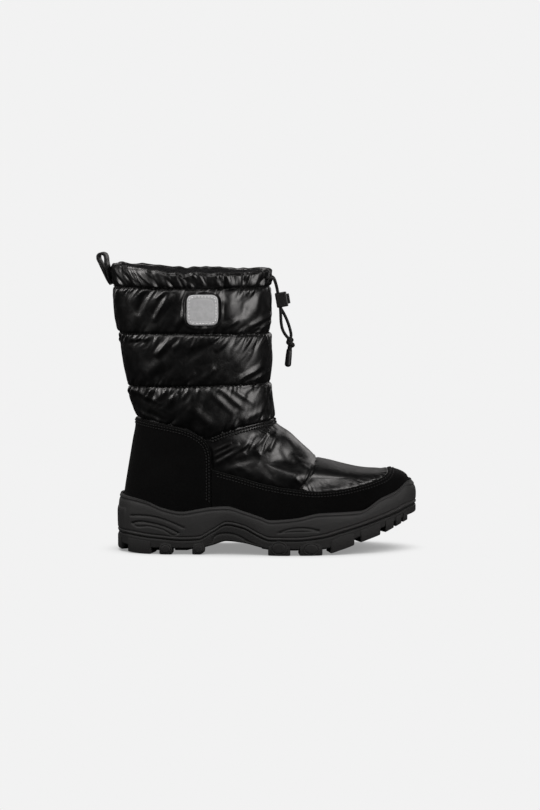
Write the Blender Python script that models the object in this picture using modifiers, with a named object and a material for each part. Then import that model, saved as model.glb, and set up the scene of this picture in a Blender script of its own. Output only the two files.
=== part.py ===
"""Quilted winter boot for the right foot, modelled piece by piece.

+X points to the toe, +Y to the inner side of the foot and +Z up; the floor is at z = 0. The sizes and tables
below are in millimetres, and the meshes are made in metres.

One function, shell(), gives the outer face of the upper from a table of sections. The upper, the suede
overlays, the cuff, the insole and the cup of the sole are all worked out from it.
"""
import math

import bmesh
import bpy
import numpy as np
from mathutils import Matrix

MM = 0.001

# Walls, clearances and the quilting of the upper
GAP = 0.3
WALL = 2.6
LEATHER = 1.5
LEATHER_FACE = GAP + LEATHER
SHAFT_PUFF = 2.3
VAMP_PUFF = 2.0
CUFF_PUFF = 2.2
INSOLE_THICKNESS = 4.0
FRONT_COLUMNS = 19
BACK_COLUMNS = 10
FOOT_SHARES = (0.0, 0.2, 0.45, 0.7, 1.0)
VAMP_SHARES = (0.0, 0.2, 0.4, 0.6, 0.8)
BAFFLE_SHARES = (0.0, 0.2, 0.5, 0.8)
CUFF_SHARES = (0.0, 0.2, 0.5, 0.8, 1.0)
CUFF_INNER_SHARES = (0.95, 0.5, 0.0)
PANEL_START = 0.25
PANEL_BUTT = 0.3
BARE_LEVELS = 1.5
VAMP_LEAST_LEVELS = 0.6
VAMP_FADE = 0.2
INSOLE_SHRINK = 0.985

# Sections of the upper from the feather line to the collar: heights and lengths at the back and the front of
# each section, the place and size of its half width, how square it is, and how far it follows ball and bed
SECTION_COLUMNS = ("z_back", "x_back", "z_front", "x_front", "x_mid", "half_width",
                   "front_square", "back_square", "ball_share", "bed_share")
SECTIONS = {
    "feather":   (27.9, -115.0, 39.9, 131.5, -40.3, 31.0, 2.5, 2.9, 1.0, 1.0),
    "wall":      (45.0, -118.0, 52.0, 137.2, -40.3, 35.0, 2.5, 2.8, 1.0, 0.6),
    "toe_box":   (58.0, -116.6, 64.5, 134.5, -40.3, 36.5, 2.4, 2.8, 1.0, 0.25),
    "toe_cap":   (65.0, -115.5, 70.6, 121.5, -40.3, 36.6, 2.3, 2.7, 1.0, 0.0),
    "vamp":      (74.0, -114.0, 73.2, 96.0, -40.3, 36.6, 2.2, 2.6, 0.95, 0.0),
    "vamp_seam": (86.0, -112.0, 80.4, 54.0, -40.3, 37.0, 2.1, 2.5, 0.75, 0.0),
    "instep":    (99.0, -109.8, 96.5, 35.0, -40.3, 38.5, 2.1, 2.4, 0.4, 0.0),
    "crease":    (113.5, -107.3, 113.5, 14.5, -41.5, 40.5, 2.1, 2.35, 0.1, 0.0),
    "ankle":     (122.0, -107.5, 122.5, 13.0, -44.0, 42.0, 2.1, 2.3, 0.0, 0.0),
    "low_seam":  (149.5, -113.7, 153.5, 11.3, -50.0, 44.0, 2.2, 2.3, 0.0, 0.0),
    "top_seam":  (198.8, -122.5, 198.6, 11.2, -55.5, 46.5, 2.2, 2.3, 0.0, 0.0),
    "cuff_seam": (239.5, -128.0, 239.0, 11.2, -58.5, 47.6, 2.2, 2.3, 0.0, 0.0),
    "collar":    (257.0, -128.6, 254.5, 10.0, -59.0, 46.6, 2.2, 2.3, 0.0, 0.0),
}
WALL_LEVEL = 1.0
TOP_LEVEL = len(SECTIONS) - 1.0

# Plan of the last along the foot: widening of each side over the waist, and the swing of the toe inwards
PLAN_COLUMNS = ("x", "outer", "inner", "swing")
PLAN = (
    (-125.0, 1.05, 1.05, 0.0),
    (-90.0, 1.05, 1.03, 0.0),
    (-45.0, 1.00, 0.95, 0.0),
    (-10.0, 1.12, 1.00, 0.3),
    (30.0, 1.36, 1.20, 1.3),
    (60.0, 1.40, 1.34, 2.8),
    (95.0, 1.36, 1.38, 5.0),
    (140.0, 1.30, 1.38, 8.0),
)

# Heights of the sole along the foot: top edge, groove of the side, foot bed, tread base and lug tips
SOLE_COLUMNS = ("x", "top", "groove", "bed", "base", "tip")
SOLE = (
    (-126.0, 51.0, 17.5, 28.0, 9.0, 5.0),
    (-112.0, 49.8, 16.4, 27.5, 6.5, 1.0),
    (-98.0, 47.0, 14.8, 27.0, 5.2, 0.0),
    (-84.0, 41.5, 13.6, 26.8, 5.2, 0.0),
    (-67.0, 38.1, 12.3, 26.4, 5.2, 0.0),
    (-53.0, 40.1, 12.8, 26.0, 5.2, 0.0),
    (-40.0, 42.1, 19.0, 25.5, 8.0, 5.0),
    (-26.0, 42.9, 26.3, 24.8, 12.0, 9.0),
    (-12.0, 39.2, 23.5, 23.3, 10.7, 7.0),
    (4.0, 34.1, 15.7, 20.5, 7.0, 2.0),
    (12.0, 31.4, 12.9, 19.0, 5.2, 0.0),
    (35.0, 33.2, 12.9, 17.6, 5.2, 0.0),
    (57.0, 37.4, 15.0, 18.6, 5.2, 0.0),
    (75.0, 37.8, 19.7, 21.6, 9.6, 4.6),
    (92.0, 38.6, 24.5, 26.0, 15.6, 10.6),
    (110.0, 48.6, 30.3, 32.0, 22.0, 17.0),
    (124.0, 54.4, 35.2, 37.0, 28.5, 24.0),
    (134.0, 64.0, 39.5, 40.2, 32.3, 29.0),
    (144.0, 65.5, 41.5, 42.0, 34.5, 32.0),
)

# Seams and edges of the upper, each as (x, z) points of its side view
EDGES = {
    "ankle_seam": ((-112, 120.5), (-97, 118.6), (-69, 113.8), (-55, 108.6), (-44, 102.0), (-28, 107.0),
                   (0, 113.5), (16, 116.0)),
    "low_seam": ((-117, 148.6), (-60, 150.5), (14, 154.0)),
    "top_seam": ((-125, 198.8), (-60, 198.4), (12, 198.8)),
    "cuff_seam": ((-130, 239.5), (-60, 238.8), (12, 239.2)),
    "collar": ((-130, 256.6), (-102, 253.8), (-60, 250.8), (-20, 250.9), (12, 253.2)),
    "counter_top": ((-112, 119.9), (-97, 118.0), (-69, 113.2), (-55, 108.0), (-48, 103.5), (-42.5, 96.0),
                    (-40.3, 88.0)),
    "rand_top": ((-40, 75.6), (-18, 70.0), (8, 63.0), (35, 58.6), (53, 56.7), (71, 57.6), (97, 62.2),
                 (112, 66.5), (117.5, 69.5), (122, 80.0)),
}

# Profile of the sole's side: reach beyond the leather at shares of the height from groove to top edge
SIDE_SHARE = (0.0, 0.12, 0.5, 0.78, 1.0)
SIDE_REACH = (3.6, 4.6, 4.9, 4.3, 2.6)
RIM_THICKNESS = 2.6
CUP_CLEARANCE = 0.6
CUP_SHARES = (0.3, 0.65, 1.0)
BED_THICKNESS = 5.0
BOTTOM_INSET = -6.0
OUTSOLE_REACH = 4.7
EDGE_ROUND = 1.5
SOLE_SEAM = 0.2

# Lugs on both edges of the tread (start and end along the foot, and whether their side is domed)
LUGS = (
    (-112.0, -93.0, False),
    (-86.0, -75.0, True),
    (-57.5, -46.0, True),
    (11.0, 30.0, True),
    (38.0, 58.0, True),
    (65.0, 86.0, False),
    (91.0, 109.0, False),
    (113.0, 121.0, False),
)
REAR_LUG_X = -116.5
REAR_LUG_DEPTH = 9.0
LUG_REACH = 5.4
LUG_DEPTH = 13.0
LUG_SIDE_DROP = 2.5
LUG_ROOT = 1.5
LUG_SHOULDER = 3.3
PLAIN_LUG_COLUMNS = 3
DOMED_LUG_COLUMNS = 5
REAR_LUG_COLUMNS = 7
CHEVRONS_X = (-98.0, -80.0, -62.0, 16.0, 37.0, 58.0, 79.0, 100.0)
CHEVRON_WIDTH_SHARE = 0.36
CHEVRON_SWEEP = 7.0
CHEVRON_THICKNESS = 8.0

# Grooves moulded in the side of the sole, each as (x, z) points of its side view
SIDE_GROOVES = {
    "heel_upper": ((-112.0, 33.5), (-100.0, 34.0), (-88.0, 32.5), (-76.0, 28.6), (-65.0, 23.8)),
    "heel_lower": ((-111.0, 27.0), (-106.0, 28.3), (-94.0, 27.6), (-82.0, 24.8), (-70.0, 19.3)),
    "ball_arc": ((20.0, 20.5), (26.0, 22.9), (38.0, 24.6), (47.0, 24.0), (55.0, 22.2)),
}
GROOVE_RADIUS = 1.1
GROOVE_SPACING = 5.0

# Badge on the outer side of the top baffle
BADGE_X = -48.0
BADGE_Z = 219.0
BADGE_HALF = 13.6
BADGE_CORNER = 4.0
BADGE_THICKNESS = 1.2
BADGE_CORNER_POINTS = 4

# Pull loop at the back of the collar: outlines of its strap in the side view
LOOP_OUTER = ((-128.7, 239.3), (-131.4, 242.5), (-131.7, 247.0), (-132.6, 253.0), (-134.0, 259.0),
              (-134.4, 263.5), (-136.2, 266.9), (-139.6, 267.9), (-143.1, 266.2), (-143.8, 262.5),
              (-140.4, 254.5), (-136.4, 246.5), (-133.0, 240.5), (-130.6, 237.6))
LOOP_INNER = ((-136.0, 252.0), (-136.9, 258.5), (-136.9, 263.0), (-139.2, 265.2), (-141.3, 263.3),
              (-139.0, 257.0))
LOOP_WIDTH = 16.0

# Drawcord, its lock, knot and sleeved end
CORD_DIAMETER = 2.5
CORD_POINT_SPACING = 5.5
CORD_EXIT_Z = 245.5
CORD_SPACING = 1.55
# Run over the cuff: place round its front as a cosine, drop below the exit, and lift off the cuff
CORD_OVER_CUFF = ((0.925, 0.0, 0.0), (0.975, 0.7, 0.5), (0.998, 3.2, 1.4))
# Fall of each strand from the lock to the knot: its side, and (x, z) points
STRANDS = {
    "drawcord_outer": (-1.0, ((21.6, 212.0), (21.9, 205.5), (23.2, 198.5), (26.2, 193.0), (28.9, 190.0))),
    "drawcord_inner": (1.0, ((24.4, 212.5), (27.8, 205.0), (30.0, 198.0), (30.9, 193.5), (30.7, 190.35))),
}
LOCK_CENTRE = (22.4, 0.0, 225.0)
LOCK_TILT = math.radians(10.0)
LOCK_SIZE = (10.4, 9.6, 13.0)
LOCK_CORD_X = -2.3
LOCK_APPROACH = 4.0
LOCK_SLOT = (3.3, 6.3)
LOCK_POCKET = (9.4, 6.9)
LOCK_POCKET_DEPTH = 5.0
BUTTON_LENGTH = 4.8
BUTTON_PROUD = 2.2
LOCK_BEVEL = 0.9
KNOT_CENTRE = (30.4, 0.0, 185.6)
KNOT_RADII = (3.3, 3.4, 4.4)
CORD_END_TOP = (29.4, 0.0, 180.4)
CORD_END_BOTTOM = (27.9, 0.0, 164.4)
CORD_END_DIAMETER = 5.2
CORD_END_ROUND = 0.6

COLOURS = {
    "shell": ((0.012, 0.012, 0.013), 0.28),
    "suede": ((0.010, 0.010, 0.010), 0.95),
    "rubber": ((0.028, 0.028, 0.028), 0.80),
    "lining": ((0.020, 0.020, 0.021), 0.90),
    "cord": ((0.012, 0.012, 0.012), 0.75),
    "plastic": ((0.010, 0.010, 0.010), 0.45),
    "badge": ((0.140, 0.140, 0.145), 0.55),
}


def smooth(knots, values, at):
    """Read a table with a smooth curve that never overshoots its rows."""
    knots = np.asarray(knots, dtype=float)
    values = np.asarray(values, dtype=float)
    at = np.clip(at, knots[0], knots[-1])
    step = np.diff(knots)
    rise = np.diff(values) / step
    slope = np.concatenate(([rise[0]], np.zeros(len(rise) - 1), [rise[-1]]))
    same_way = rise[:-1] * rise[1:] > 0.0
    total = np.where(same_way, rise[:-1] + rise[1:], 1.0)
    slope[1:-1] = np.where(same_way, 2.0 * rise[:-1] * rise[1:] / total, 0.0)
    span = np.clip(np.searchsorted(knots, at, side="right") - 1, 0, len(step) - 1)
    t = (at - knots[span]) / step[span]
    start = (1.0 + 2.0 * t) * (1.0 - t) ** 2 * values[span] + t * (1.0 - t) ** 2 * step[span] * slope[span]
    end = t * t * (3.0 - 2.0 * t) * values[span + 1] - t * t * (1.0 - t) * step[span] * slope[span + 1]
    return start + end


def table_column(columns, rows, name):
    """One named column of a table."""
    index = columns.index(name)
    return [row[index] for row in rows]


def section(name, level):
    """A size of the upper's sections at a level between two rows."""
    rows = list(SECTIONS.values())
    return smooth(range(len(rows)), table_column(SECTION_COLUMNS, rows, name), level)


def plan(name, x):
    """A value of the last's plan at a place along the foot."""
    return smooth(table_column(PLAN_COLUMNS, PLAN, "x"), table_column(PLAN_COLUMNS, PLAN, name), x)


def sole(name, x):
    """A height of the sole at a place along the foot."""
    return smooth(table_column(SOLE_COLUMNS, SOLE, "x"), table_column(SOLE_COLUMNS, SOLE, name), x)


def edge(name, x):
    """Height of a seam or edge in the side view."""
    points = EDGES[name]
    return smooth([point[0] for point in points], [point[1] for point in points], x)


def shell(phase, level):
    """Outer face of the upper: phase runs round the section (0 toe, minus outer side), level up the rows."""
    along = np.cos(phase)
    x_mid = section("x_mid", level)
    x_back = section("x_back", level)
    x_front = section("x_front", level)
    reach = np.where(along >= 0.0, x_front - x_mid, x_mid - x_back)
    square = np.where(along >= 0.0, section("front_square", level), section("back_square", level))
    x = x_mid + reach * along
    across = np.clip(1.0 - np.abs(along) ** square, 0.0, 1.0) ** (1.0 / square)
    ball = section("ball_share", level)
    flare = np.where(np.sin(phase) < 0.0, plan("outer", x), plan("inner", x))
    y = section("half_width", level) * across * np.sign(np.sin(phase)) * (1.0 + ball * (flare - 1.0))
    y = y + ball * plan("swing", x)
    share = (x - x_back) / (x_front - x_back)
    bed_chord = sole("bed", x_back) + share * (sole("bed", x_front) - sole("bed", x_back))
    z = section("z_back", level) + share * (section("z_front", level) - section("z_back", level))
    z = z + section("bed_share", level) * (sole("bed", x) - bed_chord)
    return np.stack(np.broadcast_arrays(x, y, z), axis=-1)


def shell_normal(phase, level):
    """Outward unit normal of the upper's face."""
    turn = 0.02
    climb = 0.02
    low = np.clip(level - climb, 0.0, TOP_LEVEL)
    high = np.clip(level + climb, 0.0, TOP_LEVEL)
    around = shell(phase + turn, level) - shell(phase - turn, level)
    upward = shell(phase, high) - shell(phase, low)
    normal = np.cross(around, upward)
    return normal / np.linalg.norm(normal, axis=-1, keepdims=True)


def offset_shell(phase, level, distance):
    """The upper's face, moved out along its normal."""
    distance = np.asarray(distance, dtype=float)
    return shell(phase, level) + shell_normal(phase, level) * distance[..., None]


def level_where(phase, height_at):
    """Level at which the upper's face climbs through a height that depends on x."""
    low = np.zeros(np.shape(phase))
    high = np.full(np.shape(phase), TOP_LEVEL)
    for _ in range(40):
        middle = 0.5 * (low + high)
        point = shell(phase, middle)
        below = point[..., 2] < height_at(point[..., 0])
        low = np.where(below, middle, low)
        high = np.where(below, high, middle)
    return 0.5 * (low + high)


def edge_level(phase, name, shift=0.0):
    """Level of a seam or edge of the upper, moved up by a shift."""
    return level_where(phase, lambda x: edge(name, x) + shift)


def ring_phases():
    """Columns round the boot: from the back over the outer side to the toe, and home on the inner side."""
    back = np.linspace(-math.pi, -0.5 * math.pi, BACK_COLUMNS, endpoint=False)
    front = np.linspace(-0.5 * math.pi, 0.0, FRONT_COLUMNS, endpoint=False)
    outer = np.concatenate((back, front))
    return np.concatenate((outer, [0.0], -outer[:0:-1]))


PHASES = ring_phases()


def pillow(share):
    """Height of a stuffed baffle across its share between two seams."""
    return 1.0 - np.abs(2.0 * share - 1.0) ** 2.5


def overlay_level(phase):
    """Top edge of the suede: the counter behind the side seam and the rand before it."""
    counter = edge_level(phase, "counter_top")
    rand = edge_level(phase, "rand_top")
    return np.where(np.cos(phase) < -1e-6, counter, rand)


def vamp_level(phase):
    """Where the upper's rows for the vamp start: the suede's edge, kept below the ankle seam."""
    return np.minimum(overlay_level(phase), edge_level(phase, "ankle_seam") - VAMP_LEAST_LEVELS)


def sole_plan(phase, reach):
    """Outline of the sole in plan, at a reach beyond the suede, as an (x, y) ring."""
    turn = 0.01
    level = np.full(np.shape(phase), WALL_LEVEL)
    rings = [offset_shell(phase + step, level, np.full(np.shape(phase), LEATHER_FACE))[..., :2]
             for step in (-turn, 0.0, turn)]
    tangent = rings[2] - rings[0]
    tangent = tangent / np.linalg.norm(tangent, axis=-1, keepdims=True)
    outward = np.stack((tangent[..., 1], -tangent[..., 0]), axis=-1)
    return rings[1] + outward * np.asarray(reach)[..., None]


def sole_ring(phase, reach, heights):
    """A ring of the sole: its plan at a reach, at given heights."""
    ring = sole_plan(phase, np.full(np.shape(phase), reach))
    return np.column_stack((ring, heights))


def sole_stations(phase):
    """Place along the foot that each column of the sole belongs to."""
    return sole_plan(phase, np.zeros(np.shape(phase)))[..., 0]


def phase_at(x, side):
    """Column of the sole's outline at a place along the foot, on the outer (-1) or inner (+1) side."""
    columns = np.linspace(-math.pi, 0.0, 361)
    return -side * np.interp(x, sole_stations(columns), columns)


def interface_height(x):
    """Where midsole and outsole meet under the foot: the side groove, kept below the bed."""
    return np.minimum(sole("groove", x), sole("bed", x) - BED_THICKNESS)


# Making objects


def make_material(name):
    """A plain Principled material from the colour table."""
    colour, roughness = COLOURS[name]
    material = bpy.data.materials.new(name)
    material.use_nodes = True
    shader = material.node_tree.nodes["Principled BSDF"]
    shader.inputs["Base Color"].default_value = (*colour, 1.0)
    shader.inputs["Roughness"].default_value = roughness
    shader.inputs["Metallic"].default_value = 0.0
    return material


def finish_object(item, collection, material):
    """Put an object in its collection with its material and smooth shading."""
    for owner in list(item.users_collection):
        owner.objects.unlink(item)
    collection.objects.link(item)
    item.data.materials.clear()
    item.data.materials.append(material)
    if item.type == "MESH":
        item.data.shade_smooth()
        item.data.set_sharp_from_angle(angle=math.radians(40.0))
    return item


def mesh_object(name, points, faces, collection, material, closed=True):
    """An object from points in millimetres; a closed body gets its faces turned outward."""
    mesh = bpy.data.meshes.new(name)
    mesh.from_pydata((np.asarray(points) * MM).tolist(), [], faces)
    if closed:
        body = bmesh.new()
        body.from_mesh(mesh)
        bmesh.ops.recalc_face_normals(body, faces=body.faces)
        body.to_mesh(mesh)
        body.free()
    item = bpy.data.objects.new(name, mesh)
    return finish_object(item, collection, material)


def split_quads(quads):
    """Each quad as two triangles along the same diagonal, so that facing surfaces fold alike."""
    return [(quad[0], *pair) for quad in quads for pair in ((quad[1], quad[2]), (quad[2], quad[3]))]


def ring_faces(first, second, count):
    """Faces between two closed rings that start at given point numbers."""
    return split_quads([(first + i, first + (i + 1) % count, second + (i + 1) % count, second + i)
                        for i in range(count)])


def ladder_faces(start, count):
    """A cap across a ring, in rungs from its outer to its inner side."""
    half = count // 2
    ends = [(start, start + 1, start + count - 1), (start + half - 1, start + half, start + half + 1)]
    return ends + split_quads([(start + i, start + i + 1, start + count - i - 1, start + count - i)
                               for i in range(1, half - 1)])


def ring_stack(name, rings, collection, material, capped):
    """A solid through closed rings, capped at both ends or joined from the last ring to the first."""
    count = len(rings[0])
    faces = []
    for k in range(len(rings) - 1):
        faces += ring_faces(k * count, (k + 1) * count, count)
    if capped:
        faces += ladder_faces(0, count) + ladder_faces((len(rings) - 1) * count, count)
    else:
        faces += ring_faces((len(rings) - 1) * count, 0, count)
    return mesh_object(name, np.concatenate(rings), faces, collection, material)


def leather_panel(name, phases, seats, tops, edge_shift, collection, material):
    """Leather on the upper's own rows up to a top level, with its two ends moved along x."""
    count = len(phases)
    levels = [np.full(count, PANEL_START)] + [seats * share for share in FOOT_SHARES[1:]]
    if np.min(tops - seats) > 0.0:
        levels.append(tops)
    else:
        levels[-1] = tops
    grid = [offset_shell(phases, level, np.full(count, GAP)) for level in levels]
    for row in grid:
        row[0, 0] += edge_shift
        row[-1, 0] += edge_shift
    starts = [j * count + i for j in range(len(grid) - 1) for i in range(count - 1)]
    faces = split_quads([(start, start + 1, start + count + 1, start + count) for start in starts])
    panel = mesh_object(name, np.concatenate(grid), faces, collection, material, closed=False)
    thicken(panel, LEATHER)
    return panel


def thicken(item, thickness):
    """Give an open surface its thickness on the outer side."""
    solid = item.modifiers.new("thickness", "SOLIDIFY")
    solid.thickness = thickness * MM
    solid.offset = 1.0
    solid.use_even_offset = True


def boolean(item, tool, operation):
    """Cut or join an object with a tool that stays hidden."""
    step = item.modifiers.new(tool.name, "BOOLEAN")
    step.operation = operation
    step.object = tool
    step.solver = "EXACT"


def make_tool(item):
    """Mark an object as a tool that isn't part of the boot."""
    item.hide_render = True
    item.display_type = "WIRE"


def box_object(name, size, centre, collection, material, bevel=0.0):
    """A box primitive, with its edges rounded if asked."""
    bpy.ops.mesh.primitive_cube_add(size=1.0)
    item = bpy.context.active_object
    item.name = name
    item.data.transform(Matrix.Diagonal((size[0] * MM, size[1] * MM, size[2] * MM, 1.0)))
    item.location = [value * MM for value in centre]
    if bevel > 0.0:
        rounding = item.modifiers.new("rounding", "BEVEL")
        rounding.width = bevel * MM
        rounding.segments = 2
    return finish_object(item, collection, material)


def smooth_route(points, spacing):
    """Points along a smooth curve through a route's own points, about one spacing apart."""
    points = np.asarray(points, dtype=float)
    lengths = np.linalg.norm(np.diff(points, axis=0), axis=1)
    stations = np.concatenate(([0.0], np.cumsum(lengths)))
    count = max(3, int(round(stations[-1] / spacing)) + 1)
    at = np.linspace(0.0, stations[-1], count)
    slope = np.gradient(points, stations, axis=0)
    span = np.clip(np.searchsorted(stations, at, side="right") - 1, 0, len(lengths) - 1)
    t = ((at - stations[span]) / lengths[span])[:, None]
    step = lengths[span][:, None]
    start = (1.0 + 2.0 * t) * (1.0 - t) ** 2 * points[span] + t * (1.0 - t) ** 2 * step * slope[span]
    end = t * t * (3.0 - 2.0 * t) * points[span + 1] - t * t * (1.0 - t) * step * slope[span + 1]
    return start + end


def tube_object(name, points, diameter, collection, material):
    """A round tube with filled ends along points."""
    curve = bpy.data.curves.new(name, "CURVE")
    curve.dimensions = "3D"
    curve.bevel_depth = 0.5 * diameter * MM
    curve.bevel_resolution = 2
    curve.use_fill_caps = True
    spline = curve.splines.new("POLY")
    spline.points.add(len(points) - 1)
    for slot, point in zip(spline.points, points):
        slot.co = (*[float(value) * MM for value in point], 1.0)
    item = bpy.data.objects.new(name, curve)
    return finish_object(item, collection, material)


def mesh_from_curve(item, collection, material):
    """Turn a curve object into a welded mesh object of the same name and place."""
    bpy.context.view_layer.update()
    evaluated = item.evaluated_get(bpy.context.evaluated_depsgraph_get())
    mesh = bpy.data.meshes.new_from_object(evaluated)
    body = bmesh.new()
    body.from_mesh(mesh)
    bmesh.ops.remove_doubles(body, verts=body.verts, dist=0.00001)
    bmesh.ops.recalc_face_normals(body, faces=body.faces)
    body.to_mesh(mesh)
    body.free()
    name = item.name
    place = item.matrix_world.copy()
    bpy.data.objects.remove(item)
    solid = bpy.data.objects.new(name, mesh)
    solid.matrix_world = place
    return finish_object(solid, collection, material)


# The pieces of the boot


def build_upper(parts, materials):
    """The quilted shaft and vamp: one wall, open at the collar and underneath."""
    suede = overlay_level(PHASES)
    ankle = edge_level(PHASES, "ankle_seam")
    low = edge_level(PHASES, "low_seam")
    top = edge_level(PHASES, "top_seam")
    cuff = edge_level(PHASES, "cuff_seam", -0.5 * GAP)
    bare = np.clip((ankle - suede - VAMP_LEAST_LEVELS) / BARE_LEVELS, 0.0, 1.0)
    bare = bare * np.clip(np.cos(PHASES) / VAMP_FADE, 0.0, 1.0)
    vamp_start = vamp_level(PHASES)
    outer = [(vamp_start * share, 0.0 * suede) for share in FOOT_SHARES[:-1]]
    foot = [(vamp_start + share * (ankle - vamp_start), VAMP_PUFF * bare * pillow(share))
            for share in VAMP_SHARES]
    outer += foot
    for start, end in ((ankle, low), (low, top), (top, cuff)):
        for share in BAFFLE_SHARES:
            outer.append((start + share * (end - start), SHAFT_PUFF * pillow(share) + 0.0 * start))
    outer.append((cuff, 0.0 * cuff))
    inner = [cuff, top, low, ankle] + [level for level, _ in reversed(foot)]
    inner += [vamp_start * share for share in FOOT_SHARES[-2::-1]]
    rings = [offset_shell(PHASES, level, puff) for level, puff in outer]
    rings += [offset_shell(PHASES, level, np.full(len(PHASES), -WALL)) for level in inner]
    return ring_stack("upper", rings, parts, materials["shell"], capped=False)


def build_cuff(parts, materials):
    """The gathered casing of the drawcord, a ring on the upper's top edge."""
    low = edge_level(PHASES, "cuff_seam", 0.5 * GAP)
    top = edge_level(PHASES, "collar")
    rings = [offset_shell(PHASES, low + share * (top - low), CUFF_PUFF * pillow(share) + 0.0 * low)
             for share in CUFF_SHARES]
    rings += [offset_shell(PHASES, low + share * (top - low), np.full(len(PHASES), -WALL))
              for share in CUFF_INNER_SHARES]
    return ring_stack("drawcord_cuff", rings, parts, materials["shell"], capped=False)


def build_counter(parts, materials):
    """The suede counter round the heel."""
    phases = PHASES[:BACK_COLUMNS + 1]
    phases = np.concatenate((-phases[:0:-1] - 2.0 * math.pi, phases))
    tops = edge_level(phases, "counter_top")
    seats = vamp_level(phases)
    return leather_panel("heel_counter", phases, seats, tops, -PANEL_BUTT, parts, materials["suede"])


def build_rand(parts, materials):
    """The suede mudguard round the forefoot and over the toe."""
    phases = PHASES[BACK_COLUMNS:len(PHASES) - BACK_COLUMNS + 1]
    tops = edge_level(phases, "rand_top")
    return leather_panel("rand", phases, tops, tops, PANEL_BUTT, parts, materials["suede"])


def build_insole(parts, materials):
    """The insole on the bed, inside the upper's wall."""
    level = np.zeros(len(PHASES))
    inside = offset_shell(PHASES, level, np.full(len(PHASES), -WALL))
    inside[:, :2] *= INSOLE_SHRINK
    bed = sole("bed", inside[:, 0])
    low = np.column_stack((inside[:, :2], bed + GAP))
    high = np.column_stack((inside[:, :2], bed + GAP + INSOLE_THICKNESS))
    return ring_stack("insole", [low, high], parts, materials["lining"], capped=True)


def build_midsole(parts, tools, materials):
    """The sidewall cup that the upper stands in, with its toe bumper, heel cup and side grooves."""
    stations = sole_stations(PHASES)
    rim = level_where(PHASES, lambda x: sole("top", x))
    cup = LEATHER_FACE + CUP_CLEARANCE
    floor = offset_shell(PHASES, 0.0 * rim, cup + 0.0 * rim)
    floor[:, 2] = sole("bed", floor[:, 0])
    rings = [floor]
    for share in CUP_SHARES:
        rings.append(offset_shell(PHASES, rim * share, cup + 0.0 * rim))
    rings.append(offset_shell(PHASES, rim, cup + RIM_THICKNESS + 0.0 * rim))
    groove = sole("groove", stations)
    height = sole("top", stations) - groove
    for share, reach in reversed(list(zip(SIDE_SHARE[:-1], SIDE_REACH[:-1]))):
        rings.append(sole_ring(PHASES, reach, groove + share * height + SOLE_SEAM))
    rings.append(sole_ring(PHASES, BOTTOM_INSET, interface_height(stations) + SOLE_SEAM))
    midsole = ring_stack("midsole", rings, parts, materials["rubber"], capped=True)
    for name, points in SIDE_GROOVES.items():
        for side in (-1.0, 1.0):
            boolean(midsole, groove_tool(name, points, side, tools, materials), "DIFFERENCE")
    return midsole


def side_point(x, z, side):
    """A point on the side of the midsole, from its place in the side view."""
    phase = np.array([phase_at(x, side)])
    share = (z - sole("groove", x)) / (sole("top", x) - sole("groove", x))
    reach = smooth(SIDE_SHARE, SIDE_REACH, share)
    return (*sole_plan(phase, np.array([reach]))[0], z)


def groove_tool(name, points, side, tools, materials):
    """A round bar along a groove of the sole's side."""
    route = smooth_route([(x, 0.0, z) for x, z in points], GROOVE_SPACING)
    path = [side_point(x, z, side) for x, _, z in route]
    label = f"{name}_{'outer' if side < 0.0 else 'inner'}"
    bar = tube_object(label, path, 2.0 * GROOVE_RADIUS, tools, materials["rubber"])
    bar = mesh_from_curve(bar, tools, materials["rubber"])
    make_tool(bar)
    return bar


def lug_points(phases, depth, domed):
    """Corners of an edge lug at columns of the sole: outer top and tip, inner tip and root."""
    stations = sole_stations(phases)
    count = len(phases)
    outer = sole_plan(phases, np.full(count, LUG_REACH))
    inner = sole_plan(phases, np.full(count, -depth))
    crown = sole("groove", stations) - LUG_SIDE_DROP
    if domed:
        from_middle = np.abs(np.linspace(-1.0, 1.0, count))
        crown = crown + (sole("base", stations) + LUG_SHOULDER - crown) * from_middle ** 2
    tip = sole("tip", stations)
    root = sole("base", stations) + LUG_ROOT
    corners = [np.column_stack((outer, crown)), np.column_stack((outer, tip)),
               np.column_stack((inner, tip)), np.column_stack((inner, root))]
    return np.stack(corners, axis=1).reshape(-1, 3).tolist()


def edge_lugs():
    """Corners of each lug round the tread: pairs on both sides, and one round the back of the heel."""
    lugs = []
    for start, end, domed in LUGS:
        for side in (-1.0, 1.0):
            columns = DOMED_LUG_COLUMNS if domed else PLAIN_LUG_COLUMNS
            phases = phase_at(np.linspace(start, end, columns), side)
            lugs.append(lug_points(phases, LUG_DEPTH, domed))
    turn = phase_at(REAR_LUG_X, -1.0)
    rear = np.linspace(-2.0 * math.pi - turn, turn, REAR_LUG_COLUMNS)
    lugs.append(lug_points(rear, REAR_LUG_DEPTH, False))
    return lugs


def chevron_points(x):
    """Corners of a centre chevron across the tread: front and back edges at three places."""
    left = sole_plan(np.array([phase_at(x, -1.0)]), np.zeros(1))[0][1]
    right = sole_plan(np.array([phase_at(x, 1.0)]), np.zeros(1))[0][1]
    middle = 0.5 * (left + right)
    half = CHEVRON_WIDTH_SHARE * 0.5 * (right - left)
    rows = []
    for y, shift in ((middle - half, 0.0), (middle, CHEVRON_SWEEP), (middle + half, 0.0)):
        for place, root in ((shift + x, True), (shift + x, False),
                            (shift + x - CHEVRON_THICKNESS, False), (shift + x - CHEVRON_THICKNESS, True)):
            z = sole("base", place) + LUG_ROOT if root else sole("tip", place)
            rows.append((place, y, z))
    return rows


def bar_faces(start, count):
    """Faces of a bar with four corners at each of its places, closed at both ends."""
    faces = []
    for k in range(count - 1):
        faces += ring_faces(start + 4 * k, start + 4 * (k + 1), 4)
    end = start + 4 * (count - 1)
    faces += [(start, start + 1, start + 2, start + 3), (end, end + 1, end + 2, end + 3)]
    return faces


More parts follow.
